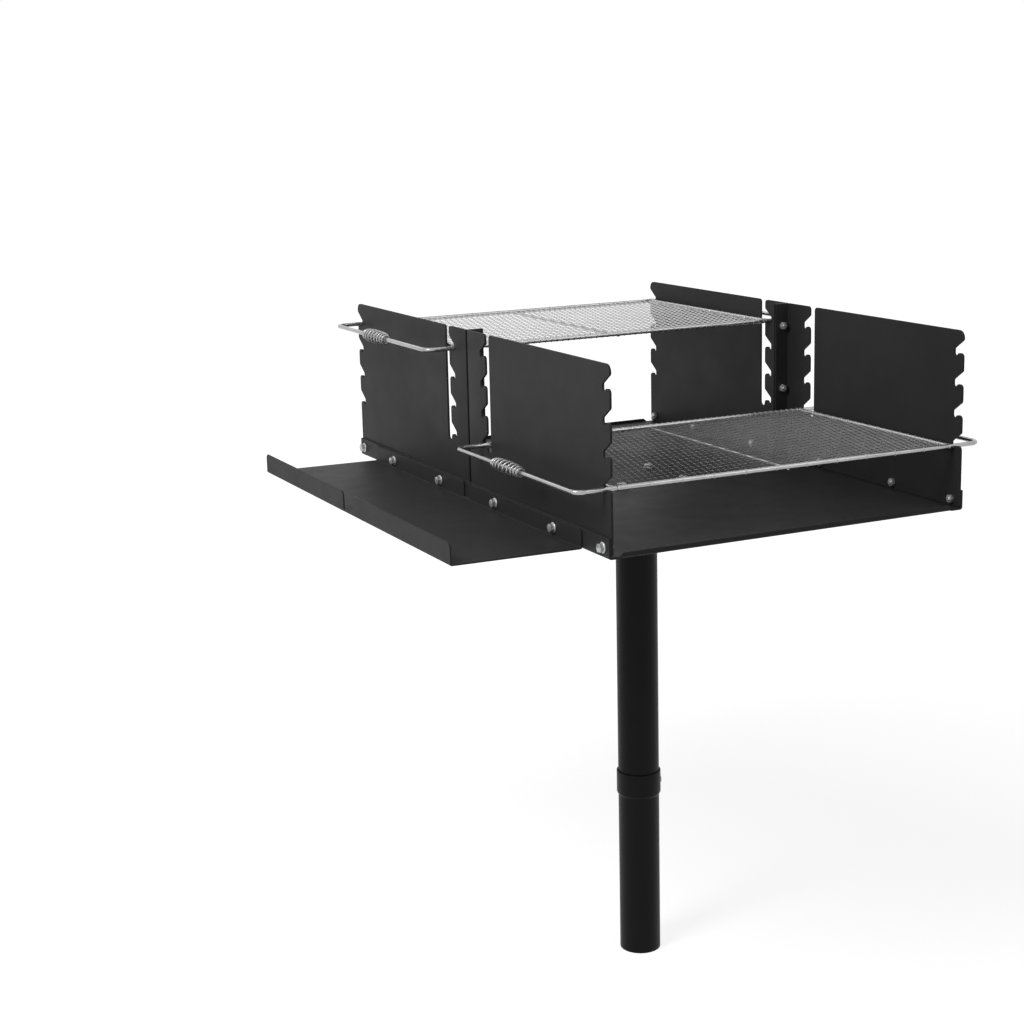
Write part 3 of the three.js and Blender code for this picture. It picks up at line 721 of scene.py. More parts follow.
def wall_sheet():
    """The right rear panel as a sheet without thickness, with its flange bent in at the seam."""
    sheets = sizes_of("sheets")
    corners = panel_corners()

    def place_of(corner):
        return Vector((HALF_WIDTH, corner[0], corner[1]))

    piece = start_line("wall_pattern", [place_of(corner) for corner in corners])
    pick_all()
    bpy.ops.mesh.edge_face_add()
    round_outline(piece, corners, place_of)
    seam = corners[0][0]
    pick(piece, "EDGE", lambda co: at(co.y, seam))
    bend_edges(-QUARTER, (HALF_WIDTH - sheets.wall_bend, seam, 0), Z_AXIS)
    extrude_edges(x=sheets.wall_bend - sheets.seam_flange)
    merge_doubles()
    object_mode()
    return piece


def make_walls():
    sheets = sizes_of("sheets")
    pattern = wall_sheet()
    for side, side_sign in SIDES.items():
        for end, end_sign in ENDS.items():
            mirror = Matrix.Diagonal((side_sign, end_sign, 1, 1))
            panel = copy_of(pattern, f"{side}_{end}_panel", mirror)
            thicken(panel, Vector((side_sign, 0, 0)), sheets.wall_sheet, sheets.edge_round)
            give(panel, "wall_coat", "upper", "black_coat", f"{side}_{end}_wall")
    discard(pattern)


# Fire tray and side shelf
def make_tray():
    sheets = sizes_of("sheets")
    half = TRAY_HIGH.x
    inner_end = HALF_DEPTH - sheets.lip_bend
    lip_end = HALF_WIDTH - sheets.lip_side_inset
    lip_top = TRAY_FOOT + sheets.lip_height
    lip_taper = sheets.lip_height - sheets.tray_sheet
    section = [(-half, TRAY_HIGH.z), (-half, TRAY_FOOT), (half, TRAY_FOOT), (half, TRAY_HIGH.z)]
    piece = start_line("tray_pan", [Vector((x, -inner_end, z)) for x, z in section])
    pick_all()
    extrude_edges(y=2 * inner_end)
    pick(piece, "EDGE", lambda co: co.z < TRAY_FOOT + NEAR and at(abs(co.x), half))
    round_edges(sheets.tray_bend)
    for side in SIDES.values():
        pick_all()
        cut_across((side * lip_end, 0, 0), X_AXIS)
    for end in ENDS.values():
        line = end * inner_end
        # The strips beside the lip run on to the end of the walls
        for side in SIDES.values():
            pick(piece, "EDGE", lambda co: at(co.y, line) and side * co.x > lip_end - NEAR)
            extrude_edges(y=end * sheets.lip_bend)
        pick(piece, "EDGE", lambda co: at(co.y, line) and abs(co.x) < lip_end + NEAR)
        bend_edges(end * QUARTER, (0, line, TRAY_FOOT + sheets.lip_bend), X_AXIS)
        extrude_edges(z=sheets.lip_height - sheets.lip_bend)
        for side in SIDES.values():
            pick(
                piece,
                "VERT",
                lambda co: at(co.z, lip_top) and at(co.x, side * lip_end) and end * co.y > inner_end,
            )
            shift(x=-side * lip_taper)
    object_mode()
    thicken(piece, -Z_AXIS, sheets.tray_sheet, sheets.edge_round)
    give(piece, "powder_coat", "upper", "black_coat", "fire_tray")


def make_shelf():
    sheets = sizes_of("sheets")
    near, far = SHELF_HIGH.x, SHELF_LOW.x
    half = SHELF_HIGH.y
    foot = SHELF_LOW.z
    outer_foot = foot + sheets.shelf_rise
    lip_top = SHELF_HIGH.z
    flange_top = foot + sheets.shelf_flange
    section = [(near, flange_top), (near, foot), (far, outer_foot), (far, lip_top)]
    piece = start_line("shelf_sheet", [Vector((x, -half, z)) for x, z in section])
    pick_all()
    extrude_edges(y=2 * half)
    for edge, bottom in ((near, foot), (far, outer_foot)):
        pick(piece, "EDGE", lambda co: at(co.x, edge) and co.z < bottom + NEAR)
        round_edges(sheets.shelf_bend)
    upturned = [
        (far, lip_top, outer_foot, sheets.shelf_lip_gap, sheets.shelf_lip_corner),
        (near, flange_top, foot, sheets.shelf_flange_gap, sheets.shelf_flange_corner),
    ]
    for edge, top, bottom, gap, corner in upturned:
        gap_foot = bottom + 2 * sheets.shelf_sheet
        cuts = [((0, -gap / 2, 0), Y_AXIS), ((0, gap / 2, 0), Y_AXIS), ((0, 0, gap_foot), Z_AXIS)]
        for place, normal in cuts:
            pick(piece, "FACE", lambda co: at(co.x, edge))
            cut_across(place, normal)
        pick(
            piece,
            "FACE",
            lambda co: at(co.x, edge) and abs(co.y) < gap / 2 + NEAR and co.z > gap_foot - NEAR,
        )
        bpy.ops.mesh.delete(type="FACE")
        pick(piece, "VERT", lambda co: at(co.x, edge) and at(co.z, top))
        round_vertices(corner)
    object_mode()
    thicken(piece, -Z_AXIS, sheets.shelf_sheet, sheets.edge_round * SHELF_ROUND_SHARE)
    give(piece, "powder_coat", "upper", "black_coat", "side_shelf")


# Post

# Section of the weld round the top of the post, in throats outwards and upwards
WELD_SECTION = ((0, -0.15), (0.3, 0.25), (0.7, 0.6), (1.05, 0.9))
FLARE_STEPS = 6

# The lock screw: shares of its radius, of its socket's radius and of its length
SCREW_SIDES = 36
SCREW_CHAMFER = 0.15
SCREW_ROUND = 0.04
SOCKET_RING = 1.15
SOCKET_MIDDLE = 0.7

# The screw's inner end stands a sixth of the bell's wall off the upper post
SCREW_GAP_PARTS = 6


def make_plate():
    posts = sizes_of("posts")
    half = PLATE_HIGH.x
    deselect_all()
    bpy.ops.mesh.primitive_cube_add(size=1, location=(0, 0, (PLATE_LOW.z + PLATE_HIGH.z) / 2))
    piece = bpy.context.object
    piece.name = "post_base_plate"
    piece.dimensions = (2 * half, 2 * half, PLATE_HIGH.z - PLATE_LOW.z)
    settle()
    for x in (-half, half):
        for y in (-half, half):
            edit(piece)
            pick(piece, "EDGE", lambda co: at(co.x, x) and at(co.y, y))
            round_edges(posts.plate_corner)
            object_mode()
    soften(piece, posts.rim_round)
    give(piece, "powder_coat", "upper", "black_coat", "post_plate")


def make_tube(name, section, *finish):
    """A tube from its section, which is closed here, with softened rims."""
    tube = spun(name, [*section, section[0]])
    soften(tube, sizes_of("posts").rim_round)
    give(tube, *finish)


def make_posts():
    posts = sizes_of("posts")
    radius = UPPER_HIGH.x
    bore = radius - posts.tube_wall
    throat = posts.weld_throat
    foot, top = UPPER_LOW.z, UPPER_HIGH.z
    weld = [(radius + throat * x, top - throat + throat * y) for x, y in WELD_SECTION]
    section = [(bore, foot), (radius, foot), *weld, (weld[-1][0], top), (bore, top)]
    make_tube("upper_tube", section, "tube_coat", "upper", "black_tube", "upper_post")

    bell = GROUND_HIGH.x
    bell_bore = bell - posts.bell_wall
    foot, rim = GROUND_LOW.z, GROUND_HIGH.z
    bell_foot = rim - posts.bell_length
    seat = bell_foot + posts.bell_flare
    section = [(bore, foot), (radius, foot), (radius, bell_foot)]
    for k in range(1, FLARE_STEPS + 1):
        swell = (bell - radius) * (1 - math.cos(math.pi * k / FLARE_STEPS)) / 2
        section.append((radius + swell, bell_foot + posts.bell_flare * k / FLARE_STEPS))
    section += [(bell, rim), (bell_bore, rim), (bell_bore, seat), (bore, seat)]
    make_tube("ground_tube", section, "tube_coat", "ground", "black_tube", "ground_post")

    outer = SPIGOT_HIGH.x
    inner = outer - posts.tube_wall
    foot, top = SPIGOT_LOW.z, SPIGOT_HIGH.z
    section = [(inner, foot), (outer, foot), (outer, top), (inner, top)]
    make_tube("inner_tube", section, "inner_steel", "upper", "bare_steel", "spigot_tube")


def make_lock_screw():
    """A socket screw in the bell, facing outwards."""
    posts = sizes_of("posts")
    centre = (SCREW_LOW + SCREW_HIGH) / 2
    outward = Vector((centre.x, centre.y, 0)).normalized()
    post = UPPER_HIGH.x
    reach = 2 * (Vector((centre.x, centre.y)).length - (post + posts.bell_wall / SCREW_GAP_PARTS))
    depth = max(reach, GROUND_HIGH.x - post)
    half = depth / 2
    socket = posts.screw_socket
    radius = posts.screw_radius
    chamfer = radius * SCREW_CHAMFER
    section = [
        (0, -half),
        (radius - chamfer, -half),
        (radius, -half + chamfer),
        (radius, half - chamfer),
        (radius - chamfer, half),
        (socket * SOCKET_RING, half),
        (0, half),
    ]
    piece = spun("set_screw", section, steps=SCREW_SIDES)
    deselect_all()
    bpy.ops.mesh.primitive_cylinder_add(
        vertices=6, radius=socket, depth=depth, location=(0, 0, depth * SOCKET_MIDDLE)
    )
    cutter = bpy.context.object
    apply_modifier(piece, "BOOLEAN", operation="DIFFERENCE", object=cutter, solver="EXACT")
    discard(cutter)
    soften(piece, radius * SCREW_ROUND)
    turn = Z_AXIS.rotation_difference(outward).to_matrix().to_4x4()
    piece.data.transform(Matrix.Translation(centre) @ turn)
    give(piece, "zinc_plate", "ground", "zinc", "lock_screw")


# Grates

# Beads of weld: their steps along and round, their ripple and how blunt their ends are
BEAD_STEPS = 9
BEAD_SIDES = 20
BEAD_RIPPLE = 0.05
BEAD_WAVES = 7
BEAD_FULLNESS = 0.35

# A cross wire's weld, in radii of the wire
CROSS_BEAD_RADIUS = 1.18
CROSS_BEAD_LENGTH = 2.6

# Every fifth strand end is wound round the outer bar
OUTER_WRAP_STEP = 5

# A handle's winding: its steps in a turn, and how soon it widens from its ends
COIL_STEPS = 28
COIL_SWELL = 0.7


def wire_from_edges(piece, radius, roundness):
    """Turn a piece made of edges into a round wire."""
    activate(piece)
    bpy.ops.object.convert(target="CURVE")
    wire = bpy.context.object
    wire.data.bevel_depth = radius
    wire.data.bevel_resolution = roundness
    wire.data.use_fill_caps = True
    bpy.ops.object.convert(target="MESH")
    bpy.ops.object.shade_smooth()
    return bpy.context.object


def straight_wire(name, start, end, radius, roundness):
    wire = start_line(name, [Vector(start), Vector(end)])
    object_mode()
    return wire_from_edges(wire, radius, roundness)


def grate_places():
    """Half the loop's reach, half the distance between a grate's bars, and its middle's place."""
    hooks = sizes_of("hooks")
    outer = HALF_DEPTH - hooks.edge_inset
    inner = hooks.channel_near - hooks.channel_inset
    loop = middle("front_right_handle").x
    return loop, (outer - inner) / 2, (outer + inner) / 2


def grate_frame():
    """The front grate's frame about its middle, with its outer wire at -Y."""
    wires = sizes_of("wires")
    radius = wires.wire_radius
    loop, half, _ = grate_places()
    corners = ((loop, half), (-loop, half), (-loop, -half), (loop, -half))
    ring = start_line("grate_ring", [Vector((x, y, 0)) for x, y in corners])
    pick_all()
    bpy.ops.mesh.edge_face_add()
    pick_all()
    round_vertices(wires.loop_corner, segments=10)
    pick_all()
    bpy.ops.mesh.delete(type="ONLY_FACE")
    object_mode()
    parts = [wire_from_edges(ring, radius, roundness=5)]
    cross = HALF_WIDTH - wires.cross_inset
    for x in (-cross, cross):
        parts.append(straight_wire("cross_wire", (x, -half, 0), (x, half, 0), radius, roundness=5))
        for y in (-half, half):
            place = Vector((x, y, 0))
            parts.append(weld_bead(place, radius * CROSS_BEAD_RADIUS, radius * CROSS_BEAD_LENGTH))
    thin = wires.support_radius
    drop = wires.net_sheet + thin
    parts.append(straight_wire("support_wire", (0, -half, -drop), (0, half, -drop), thin, roundness=4))
    parts.append(weld_bead(Vector((0, half, 0)), wires.bead_radius, wires.bead_length))
    return join_pieces(parts, "grate_frame_pattern")


def weld_bead(place, radius, span):
    """A rounded, slightly rippled bead of weld round a wire that runs along X."""
    profile = [(0, -span / 2)]
    for k in range(1, BEAD_STEPS):
        share = k / BEAD_STEPS
        ripple = 1 + BEAD_RIPPLE * math.sin(BEAD_WAVES * math.pi * share)
        swell = math.sin(math.pi * share) ** BEAD_FULLNESS
        profile.append((radius * ripple * swell, span * (share - 0.5)))
    profile.append((0, span / 2))
    bead = spun("weld_bead", profile, steps=BEAD_SIDES)
    activate(bead)
    bpy.ops.object.shade_smooth()
    turn = Z_AXIS.rotation_difference(X_AXIS).to_matrix().to_4x4()
    bead.data.transform(Matrix.Translation(place) @ turn)
    return bead


def net_strand(name, cell, start, count):
    """One bent strand of the net over its whole depth, cut off in the middle of two knots."""
    wires = sizes_of("wires")
    width, span = cell
    knot = wires.net_knot
    reach = wires.net_strand * math.cos(wires.net_tilt)
    swing = (width / 2 - reach) / 2
    rise = math.tan(wires.net_tilt)
    bends = ((knot / 2, 1), ((span - knot) / 2, -1), ((span + knot) / 2, -1), (span - knot / 2, 1))
    places = []
    for k in range(-1, count + 1):
        foot = k * span + start.y
        for along, side in bends:
            places.append(Vector((start.x + side * swing, foot + along, -side * swing * rise)))
    strand = start_line(name, places)
    pick_all()
    extrude_edges(x=reach, z=-reach * rise)
    pick_all()
    shift(x=-reach / 2, z=reach * rise / 2)
    for end, outward in ((0, -1), (count * span, 1)):
        pick_all()
        bpy.ops.mesh.bisect(plane_co=(0, end, 0), plane_no=(0, outward, 0), clear_outer=True)
    object_mode()
    face_towards(strand, Z_AXIS)
    apply_modifier(strand, "SOLIDIFY", thickness=wires.net_sheet, offset=0, use_even_offset=False)
    return strand


def repeat(piece, count, step):
    """Repeat a piece in a straight row."""
    apply_modifier(
        piece,
        "ARRAY",
        count=count,
        use_relative_offset=False,
        use_constant_offset=True,
        constant_offset_displace=step,
    )
    return piece


def net_wraps(name, along, start, count, pitch):
    """Ends of the net's strands, each wound once round a wire of the frame."""
    wires = sizes_of("wires")
    turn = (0, QUARTER, 0) if along == X_AXIS else (QUARTER, 0, 0)
    deselect_all()
    bpy.ops.mesh.primitive_torus_add(
        major_segments=10,
        minor_segments=5,
        major_radius=wires.wire_radius + wires.net_wrap / 2,
        minor_radius=wires.net_wrap,
        rotation=turn,
        location=start,
    )
    wrap = bpy.context.object
    wrap.name = name
    settle()
    return repeat(wrap, count, along * pitch)


def grate_net():
    """Raised expanded net about the grate's middle, with its ends wound round the frame."""
    wires = sizes_of("wires")
    low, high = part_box("front_grate_net")
    width, depth = high.x - low.x, high.y - low.y
    columns = round(width / wires.net_cell_x - 0.5)
    rows = round(depth / wires.net_cell_y)
    cell = (width / (columns + 0.5), depth / rows)
    strands = [
        net_strand("net_strand", cell, Vector((0, 0)), rows),
        net_strand("net_strand_offset", cell, Vector((cell[0] / 2, cell[1] / 2)), rows),
    ]
    net = repeat(join_pieces(strands, "net_pattern"), columns + 1, (cell[0], 0, 0))
    net.data.transform(Matrix.Translation((-width / 2, -depth / 2, 0)))
    _, half, _ = grate_places()
    first = cell[0] / 4 - width / 2
    step = OUTER_WRAP_STEP
    parts = [
        net,
        net_wraps("inner_bar_wrap", X_AXIS, (first, half, 0), columns + 1, cell[0]),
        net_wraps("outer_bar_wrap", X_AXIS, (first, -half, 0), columns // step + 1, step * cell[0]),
    ]
    cross = HALF_WIDTH - wires.cross_inset
    for x in (-cross, cross):
        parts.append(net_wraps("side_wrap", Y_AXIS, (x, -depth / 2, 0), 2 * rows + 1, cell[1] / 2))
    net = join_pieces(parts, "net_pattern")
    activate(net)
    bpy.ops.object.shade_flat()
    return net


def wound_handle():
    """A wound wire about the Y axis, narrow at its ends and open in its middle."""
    wires = sizes_of("wires")
    steps = round(wires.coil_turns * COIL_STEPS)
    swell = wires.coil_middle - wires.coil_end
    places = []
    for k in range(steps + 1):
        share = k / steps
        turn = FULL_TURN * wires.coil_turns * share
        radius = wires.coil_end + swell * math.sin(math.pi * share) ** COIL_SWELL
        swing = wires.coil_swing * math.sin(FULL_TURN * share) / FULL_TURN
        along = wires.coil_length * (share - swing - 0.5)
        places.append(Vector((radius * math.cos(turn), along, radius * math.sin(turn))))
    coil = start_line("coil_pattern", places)
    object_mode()
    return wire_from_edges(coil, wires.coil_wire, roundness=3)


def make_grates():
    loop, _, centre = grate_places()
    frame_pattern = grate_frame()
    net_pattern = grate_net()
    coil_pattern = wound_handle()
    for end, sign in ENDS.items():
        height = LEVELS[0] if sign < 0 else LEVELS[-1]
        turn = Matrix.Rotation(math.pi, 4, "Z") if sign > 0 else Matrix.Identity(4)
        place = Matrix.Translation((0, sign * centre, height)) @ turn
        body = f"{end}_grate"
        wire = copy_of(frame_pattern, f"{end}_grate_wire", place)
        give(wire, "drawn_wire", body, "bright_wire", f"{end}_grate_frame")
        net = copy_of(net_pattern, f"{end}_grate_lattice", place)
        give(net, "net_steel", body, "grate_net", f"{end}_grate_net")
        for side, side_sign in SIDES.items():
            handle = f"{end}_{side}_handle"
            rest = Matrix.Translation((side_sign * loop, middle(handle).y, height)) @ turn
            coil = copy_of(coil_pattern, f"{end}_{side}_coil", rest)
            give(coil, "drawn_wire", body, "bright_wire", handle)
    for pattern in (frame_pattern, net_pattern, coil_pattern):
        discard(pattern)


# Fasteners: each stands on its bearing face at z = 0

# Sizes of a bolt and its nut
M6 = {
    "radius": 0.003,
    "across": 0.010,
    "head": 0.0066,
    "flange": 0.0071,
    "flange_height": 0.0014,
    "nut": 0.005,
    "tail": 0.002,
    "pitch": 0.001,
}
M8 = {
    "radius": 0.004,
    "across": 0.013,
    "head": 0.0053,
    "flange": 0.008,
    "flange_height": 0.0016,
    "nut": 0.0065,
    "tail": 0.002,
    "pitch": 0.00125,
}
FLANGE_BOLTS = 6
SEAM_BOLTS = 2
PLATE_BOLTS = 4

# A hexagon's chamfer: its slope, the flat left inside it and the cutter's reach past the corners
CHAMFER_SLOPE = math.tan(math.radians(30))
CHAMFER_FLAT = 0.94
CHAMFER_REACH = 1.1
CHAMFER_SIDES = 72

# The thread's depth in pitches, and the depth of the chamfer at the rod's end in thread depths
THREAD_DEPTH = 0.5
THREAD_CHAMFER = 1.4
THREAD_SIDES = 28
THREAD_ANGLE = math.radians(20)

# Heights of a flange's rim, its cone's top and the head's foot, in the flange's height
FLANGE_RIM = 0.45
FLANGE_TOP = 1.15
HEAD_FOOT = 0.9

# The cone's radius at its top, in the radius over the head's corners
FLANGE_NECK = 1.04
FLANGE_SIDES = 48

# A nut's bore and countersink, in the thread's radius
NUT_BORE = 1.04
NUT_SINK = 1.18
BORE_SIDES = 40

# How far the bore's cutter stands out of the nut, in the nut's height
NUT_OVERRUN = 0.2

# Rounding of a fastener's edges, in the thread's radius
FLANGE_ROUND = 0.06
HEX_ROUND = 0.05


def chamfered_hex(name, across, foot, top, both=False):
    """A hexagonal head or nut with its corners turned off."""
    corner = across / math.sqrt(3)
    deselect_all()
    bpy.ops.mesh.primitive_cylinder_add(
        vertices=6, radius=corner, depth=top - foot, location=(0, 0, (top + foot) / 2)
    )
    piece = bpy.context.object
    piece.name = name
    settle()
    flat = across / 2 * CHAMFER_FLAT
    wide = corner * CHAMFER_REACH
    drop = (wide - flat) * CHAMFER_SLOPE
    foot_ring = [(flat, foot), (wide, foot + drop)] if both else [(wide, foot)]
    section = [(0, foot), *foot_ring, (wide, top - drop), (flat, top), (0, top)]
    cutter = spun("chamfer_cone", section, steps=CHAMFER_SIDES)
    apply_modifier(piece, "BOOLEAN", operation="INTERSECT", object=cutter, solver="EXACT")
    discard(cutter)
    return piece


def threaded_rod(name, radius, foot, top, pitch):
    """A rod with rings of thread, chamfered at its free end."""
    depth = pitch * THREAD_DEPTH
    profile = [(0, foot), (radius - THREAD_CHAMFER * depth, foot), (radius - depth, foot + depth)]
    height = foot + depth
    while height + pitch < top:
        profile += [(radius, height + pitch / 2), (radius - depth, height + pitch)]
        height += pitch
    profile += [(radius, top), (0, top)]
    return spun(name, profile, steps=THREAD_SIDES)


def flange_bolt(name, bolt, grip):
    """Hexagonal head on a coned flange, with its thread below."""
    radius = bolt["radius"]
    cone = bolt["flange_height"]
    rim = bolt["flange"]
    neck = bolt["across"] / math.sqrt(3) * FLANGE_NECK
    cone_top = cone * FLANGE_TOP
    section = [(0, 0), (rim, 0), (rim, cone * FLANGE_RIM), (neck, cone_top), (0, cone_top)]
    flange = spun(f"{name}_flange", section, steps=FLANGE_SIDES)
    soften(flange, radius * FLANGE_ROUND)
    head = chamfered_hex(f"{name}_head", bolt["across"], cone * HEAD_FOOT, bolt["head"])
    soften(head, radius * HEX_ROUND)
    tip = -(grip + bolt["nut"] + bolt["tail"])
    rod = threaded_rod(f"{name}_rod", radius, tip, 0.0, bolt["pitch"])
    activate(rod)
    bpy.ops.object.shade_smooth_by_angle(angle=THREAD_ANGLE)
    return join_pieces([flange, head, rod], name)


def hex_nut(name, bolt):
    """Hexagonal nut with both ends turned off and a countersunk bore."""
    height = bolt["nut"]
    nut = chamfered_hex(name, bolt["across"], 0.0, height, both=True)
    bore = bolt["radius"] * NUT_BORE
    sink = bolt["radius"] * NUT_SINK
    lead = sink - bore
    over = height * NUT_OVERRUN
    section = [
        (0, -over),
        (sink + over, -over),
        (bore, lead),
        (bore, height - lead),
        (sink + over, height + over),
        (0, height + over),
    ]
    cutter = spun("bore_cutter", section, steps=BORE_SIDES)
    apply_modifier(nut, "BOOLEAN", operation="DIFFERENCE", object=cutter, solver="EXACT")
    discard(cutter)
    soften(nut, bolt["radius"] * HEX_ROUND)
    return nut


def outer_end(node, outward):
    """The middle of a node's end on the side that it faces."""
    low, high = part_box(node)
    place = (low + high) / 2
    for axis in range(3):
        if outward[axis] > 0:
            place[axis] = high[axis]
        elif outward[axis] < 0:
            place[axis] = low[axis]
    return place


def place_fastener(pattern, node, outward, height):
    """Copy a head or nut of a height to its node, tightened to a turn of its own."""
    name = f"{node}_steel"
    seat = outer_end(node, outward) - outward * height
    turn = Z_AXIS.rotation_difference(outward).to_matrix().to_4x4()
    twist = Matrix.Rotation(math.radians((sum(map(ord, name)) * 17) % 60), 4, "Z")
    piece = copy_of(pattern, name, Matrix.Translation(seat) @ turn @ twist)
    give(piece, "zinc_plate", "upper", "zinc", node)


def bolt_grip(node, outward, size):
    low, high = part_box(node)
    span = abs((high - low).dot(outward))
    return span - size["head"] - size["nut"] - size["tail"]


def make_sheet_bolts():
    nut = hex_nut("sheet_nut_pattern", M6)
    bolts = {}
    for side, sign in SIDES.items():
        rows = (("flange", FLANGE_BOLTS, Vector((sign, 0, 0))), ("seam", SEAM_BOLTS, Y_AXIS))
        for row, count, outward in rows:
            for number in range(1, count + 1):
                node = f"{side}_{row}_bolt_{number}"
                grip = round(bolt_grip(node, outward, M6), GRIP_DIGITS)
                if grip not in bolts:
                    bolts[grip] = flange_bolt(f"sheet_bolt_pattern_{len(bolts)}", M6, grip)
                place_fastener(bolts[grip], node, outward, M6["head"])
                place_fastener(nut, f"{side}_{row}_nut_{number}", -outward, M6["nut"])
    for pattern in (nut, *bolts.values()):
        discard(pattern)


def make_plate_bolts():
    nut = hex_nut("plate_nut_pattern", M8)
    bolt = flange_bolt("plate_bolt_pattern", M8, bolt_grip("plate_bolt_1", Z_AXIS, M8))
    for number in range(1, PLATE_BOLTS + 1):
        place_fastener(bolt, f"plate_bolt_{number}", Z_AXIS, M8["head"])
        place_fastener(nut, f"plate_nut_{number}", -Z_AXIS, M8["nut"])
    discard(nut)
    discard(bolt)


# Stage
CAMERA_PLACE = Vector((-1.3225, -2.3404, 1.274))
CAMERA_AZIMUTH = math.radians(25.665)
CAMERA_ELEVATION = math.radians(12.556)
CAMERA_ROLL = math.radians(-1.4)
CAMERA_LENS = 67.16
CAMERA_REACH = 60
SENSOR = 36.0

# Lamps: place, width and power
LAMPS = {
    "key_light": ((-1.7, -0.6, 2.1), 0.9, 17),
    "fill_light": ((1.3, -1.8, 2.6), 1.2, 7),
    "rim_light": ((-0.6, 3.0, 3.0), 1.6, 5),
}
LAMP_TARGET = Vector((0, 0, 0.8))
FLOOR_SIZE = 40
FLOOR_TONE = 0.80
WHITE = (1, 1, 1, 1)

# The floor's own white: its share at the post, and how far from the post it starts and ends to rise
FLOOR_GLOW = 0.80
GLOW_START = 0.7
GLOW_END = 2.4

# The world's strength for the rays that don't see it
WORLD_LIGHT = 0.10


def make_camera():
    camera = bpy.data.objects.new("view_camera", bpy.data.cameras.new("view_camera"))
    bpy.context.scene.collection.objects.link(camera)
    camera.data.lens = CAMERA_LENS
    camera.data.sensor_width = SENSOR
    camera.data.clip_end = CAMERA_REACH
    back = Vector((
        -math.sin(CAMERA_AZIMUTH) * math.cos(CAMERA_ELEVATION),
        -math.cos(CAMERA_AZIMUTH) * math.cos(CAMERA_ELEVATION),
        math.sin(CAMERA_ELEVATION),
    ))
    right = Z_AXIS.cross(back).normalized()
    up = back.cross(right)
    level = Matrix((right, up, back)).transposed()
    roll = Matrix.Rotation(CAMERA_ROLL, 3, back)
    camera.matrix_world = Matrix.Translation(CAMERA_PLACE) @ (roll @ level).to_4x4()
    bpy.context.scene.camera = camera


def add_lamp(name, place, size, power):
    lamp = bpy.data.objects.new(name, bpy.data.lights.new(name, "AREA"))
    bpy.context.scene.collection.objects.link(lamp)
    lamp.data.shape = "DISK"
    lamp.data.size = size
    lamp.data.energy = power
    lamp.location = place
    lamp.rotation_euler = (LAMP_TARGET - Vector(place)).to_track_quat("-Z", "Y").to_euler()


def seen_rays(tree):
    """One for camera, glossy and transmission rays, nought for all others."""
    rays = add_node(tree, "ShaderNodeLightPath")
    seen = rays.outputs["Is Camera Ray"]
    for kind in ("Is Glossy Ray", "Is Transmission Ray"):
        seen = calculate(tree, "MAXIMUM", seen, rays.outputs[kind])
    return seen


def stage_material():
    """Matt floor that is white where it is seen, but for the soft shadow round the post."""
    material, tree, shader = nodes_of("pale_floor")
    shader.inputs["Base Color"].default_value = (FLOOR_TONE, FLOOR_TONE, FLOOR_TONE, 1)
    shader.inputs["Roughness"].default_value = 0.9
    shader.inputs["Specular IOR Level"].default_value = 0.0
    away = add_node(tree, "ShaderNodeVectorMath", operation="LENGTH")
    tree.links.new(object_coordinates(tree), away.inputs[0])
    paleness = spread(tree, away.outputs["Value"], GLOW_START, GLOW_END, to_low=FLOOR_GLOW)
    glow = calculate(tree, "MULTIPLY", seen_rays(tree), paleness)
    tree.links.new(glow, shader.inputs["Emission Strength"])
    shader.inputs["Emission Color"].default_value = WHITE
    return material


def make_world():
    world = bpy.data.worlds.new("studio")
    bpy.context.scene.world = world
    world.use_nodes = True
    tree = world.node_tree
    background = tree.nodes["Background"]
    background.inputs["Color"].default_value = WHITE
    strength = spread(tree, seen_rays(tree), low=0.0, high=1.0, to_low=WORLD_LIGHT)
    tree.links.new(strength, background.inputs["Strength"])


def make_stage():
    deselect_all()
    bpy.ops.mesh.primitive_plane_add(size=FLOOR_SIZE, location=(0, 0, 0))
    floor = bpy.context.object
    floor.name = "studio_floor"
    floor.data.materials.append(stage_material())
    for name, (place, size, power) in LAMPS.items():
        add_lamp(name, place, size, power)
    make_world()
    make_camera()
    bpy.context.scene.view_settings.view_transform = "Standard"


# Operators
class PARKGRILL_OT_materials(bpy.types.Operator):
    """Mix the coats and metals of the grill"""

    bl_idname = "park_grill.materials"
    bl_label = "Coats and metals"
    bl_options = {"REGISTER", "UNDO"}

    def execute(self, context):
        make_materials()
        return {"FINISHED"}


class PARKGRILL_OT_stage(bpy.types.Operator):
    """Set up the floor, the lights and the camera"""

    bl_idname = "park_grill.stage"
    bl_label = "Studio stage"
    bl_options = {"REGISTER", "UNDO"}

    def execute(self, context):
        make_stage()
        return {"FINISHED"}


class PARKGRILL_OT_walls(bpy.types.Operator):
    """Cut, bend and thicken the wall panels with their hooks"""

    bl_idname = "park_grill.walls"
    bl_label = "Wall panels"
    bl_options = {"REGISTER", "UNDO"}

    def execute(self, context):
        make_walls()
        return {"FINISHED"}


class PARKGRILL_OT_tray(bpy.types.Operator):
    """Fold the fire tray with its flanges and lips"""

    bl_idname = "park_grill.tray"
    bl_label = "Fire tray"
    bl_options = {"REGISTER", "UNDO"}

    def execute(self, context):
        make_tray()
        return {"FINISHED"}


class PARKGRILL_OT_shelf(bpy.types.Operator):
    """Fold the side shelf with its flange and lip"""

    bl_idname = "park_grill.shelf"
    bl_label = "Side shelf"
    bl_options = {"REGISTER", "UNDO"}

    def execute(self, context):
        make_shelf()
        return {"FINISHED"}


class PARKGRILL_OT_post(bpy.types.Operator):
    """Turn the tubes of the post, its plate and its lock screw"""

    bl_idname = "park_grill.post"
    bl_label = "Post"
    bl_options = {"REGISTER", "UNDO"}

    def execute(self, context):
        make_plate()
        make_posts()
        make_lock_screw()
        return {"FINISHED"}


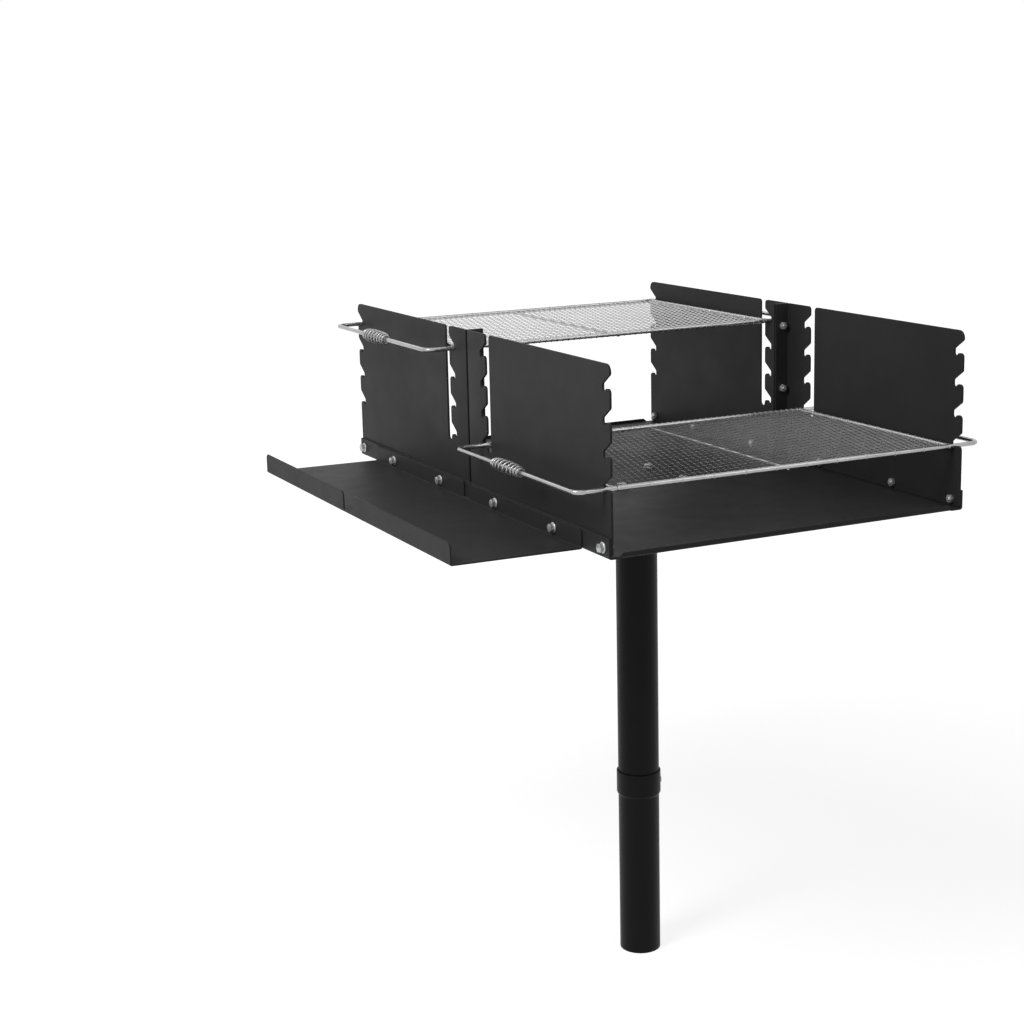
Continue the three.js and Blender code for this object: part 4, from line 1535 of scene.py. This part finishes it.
class PARKGRILL_OT_grates(bpy.types.Operator):
    """Bend the grate frames, expand their nets and wind their handles"""

    bl_idname = "park_grill.grates"
    bl_label = "Grates"
    bl_options = {"REGISTER", "UNDO"}

    def execute(self, context):
        make_grates()
        return {"FINISHED"}


class PARKGRILL_OT_sheet_bolts(bpy.types.Operator):
    """Fit the bolts and nuts of the sheets"""

    bl_idname = "park_grill.sheet_bolts"
    bl_label = "Sheet bolts"
    bl_options = {"REGISTER", "UNDO"}

    def execute(self, context):
        make_sheet_bolts()
        return {"FINISHED"}


class PARKGRILL_OT_plate_bolts(bpy.types.Operator):
    """Fit the bolts and nuts of the post plate"""

    bl_idname = "park_grill.plate_bolts"
    bl_label = "Plate bolts"
    bl_options = {"REGISTER", "UNDO"}

    def execute(self, context):
        make_plate_bolts()
        return {"FINISHED"}


OPERATORS = (
    PARKGRILL_OT_materials,
    PARKGRILL_OT_stage,
    PARKGRILL_OT_walls,
    PARKGRILL_OT_tray,
    PARKGRILL_OT_shelf,
    PARKGRILL_OT_post,
    PARKGRILL_OT_grates,
    PARKGRILL_OT_sheet_bolts,
    PARKGRILL_OT_plate_bolts,
)

SIZE_GROUPS = {
    "park_grill_sheets": ParkGrillSheets,
    "park_grill_hooks": ParkGrillHooks,
    "park_grill_wires": ParkGrillWires,
    "park_grill_posts": ParkGrillPosts,
    "park_grill_finishes": ParkGrillFinishes,
}


class PARKGRILL_PT_sidebar(bpy.types.Panel):
    """Buttons for each step and the sizes that it reads"""

    bl_idname = "PARKGRILL_PT_sidebar"
    bl_label = "Park Grill"
    bl_space_type = "VIEW_3D"
    bl_region_type = "UI"
    bl_category = "Park Grill"

    def draw(self, context):
        steps = self.layout.column(align=True)
        for operator in OPERATORS:
            steps.operator(operator.bl_idname)
        for name, group in SIZE_GROUPS.items():
            box = self.layout.box()
            box.label(text=group.__doc__)
            for size in group.__annotations__:
                box.prop(getattr(context.scene, name), size)


def register():
    for name, group in SIZE_GROUPS.items():
        bpy.utils.register_class(group)
        setattr(bpy.types.Scene, name, PointerProperty(type=group))
    for operator in OPERATORS:
        bpy.utils.register_class(operator)
    bpy.utils.register_class(PARKGRILL_PT_sidebar)


def unregister():
    bpy.utils.unregister_class(PARKGRILL_PT_sidebar)
    for operator in reversed(OPERATORS):
        bpy.utils.unregister_class(operator)
    for name, group in SIZE_GROUPS.items():
        delattr(bpy.types.Scene, name)
        bpy.utils.unregister_class(group)


def main():
    register()
    for operator in OPERATORS:
        group, step = operator.bl_idname.split(".")
        getattr(getattr(bpy.ops, group), step)()
    deselect_all()


if __name__ == "__main__":
    main()
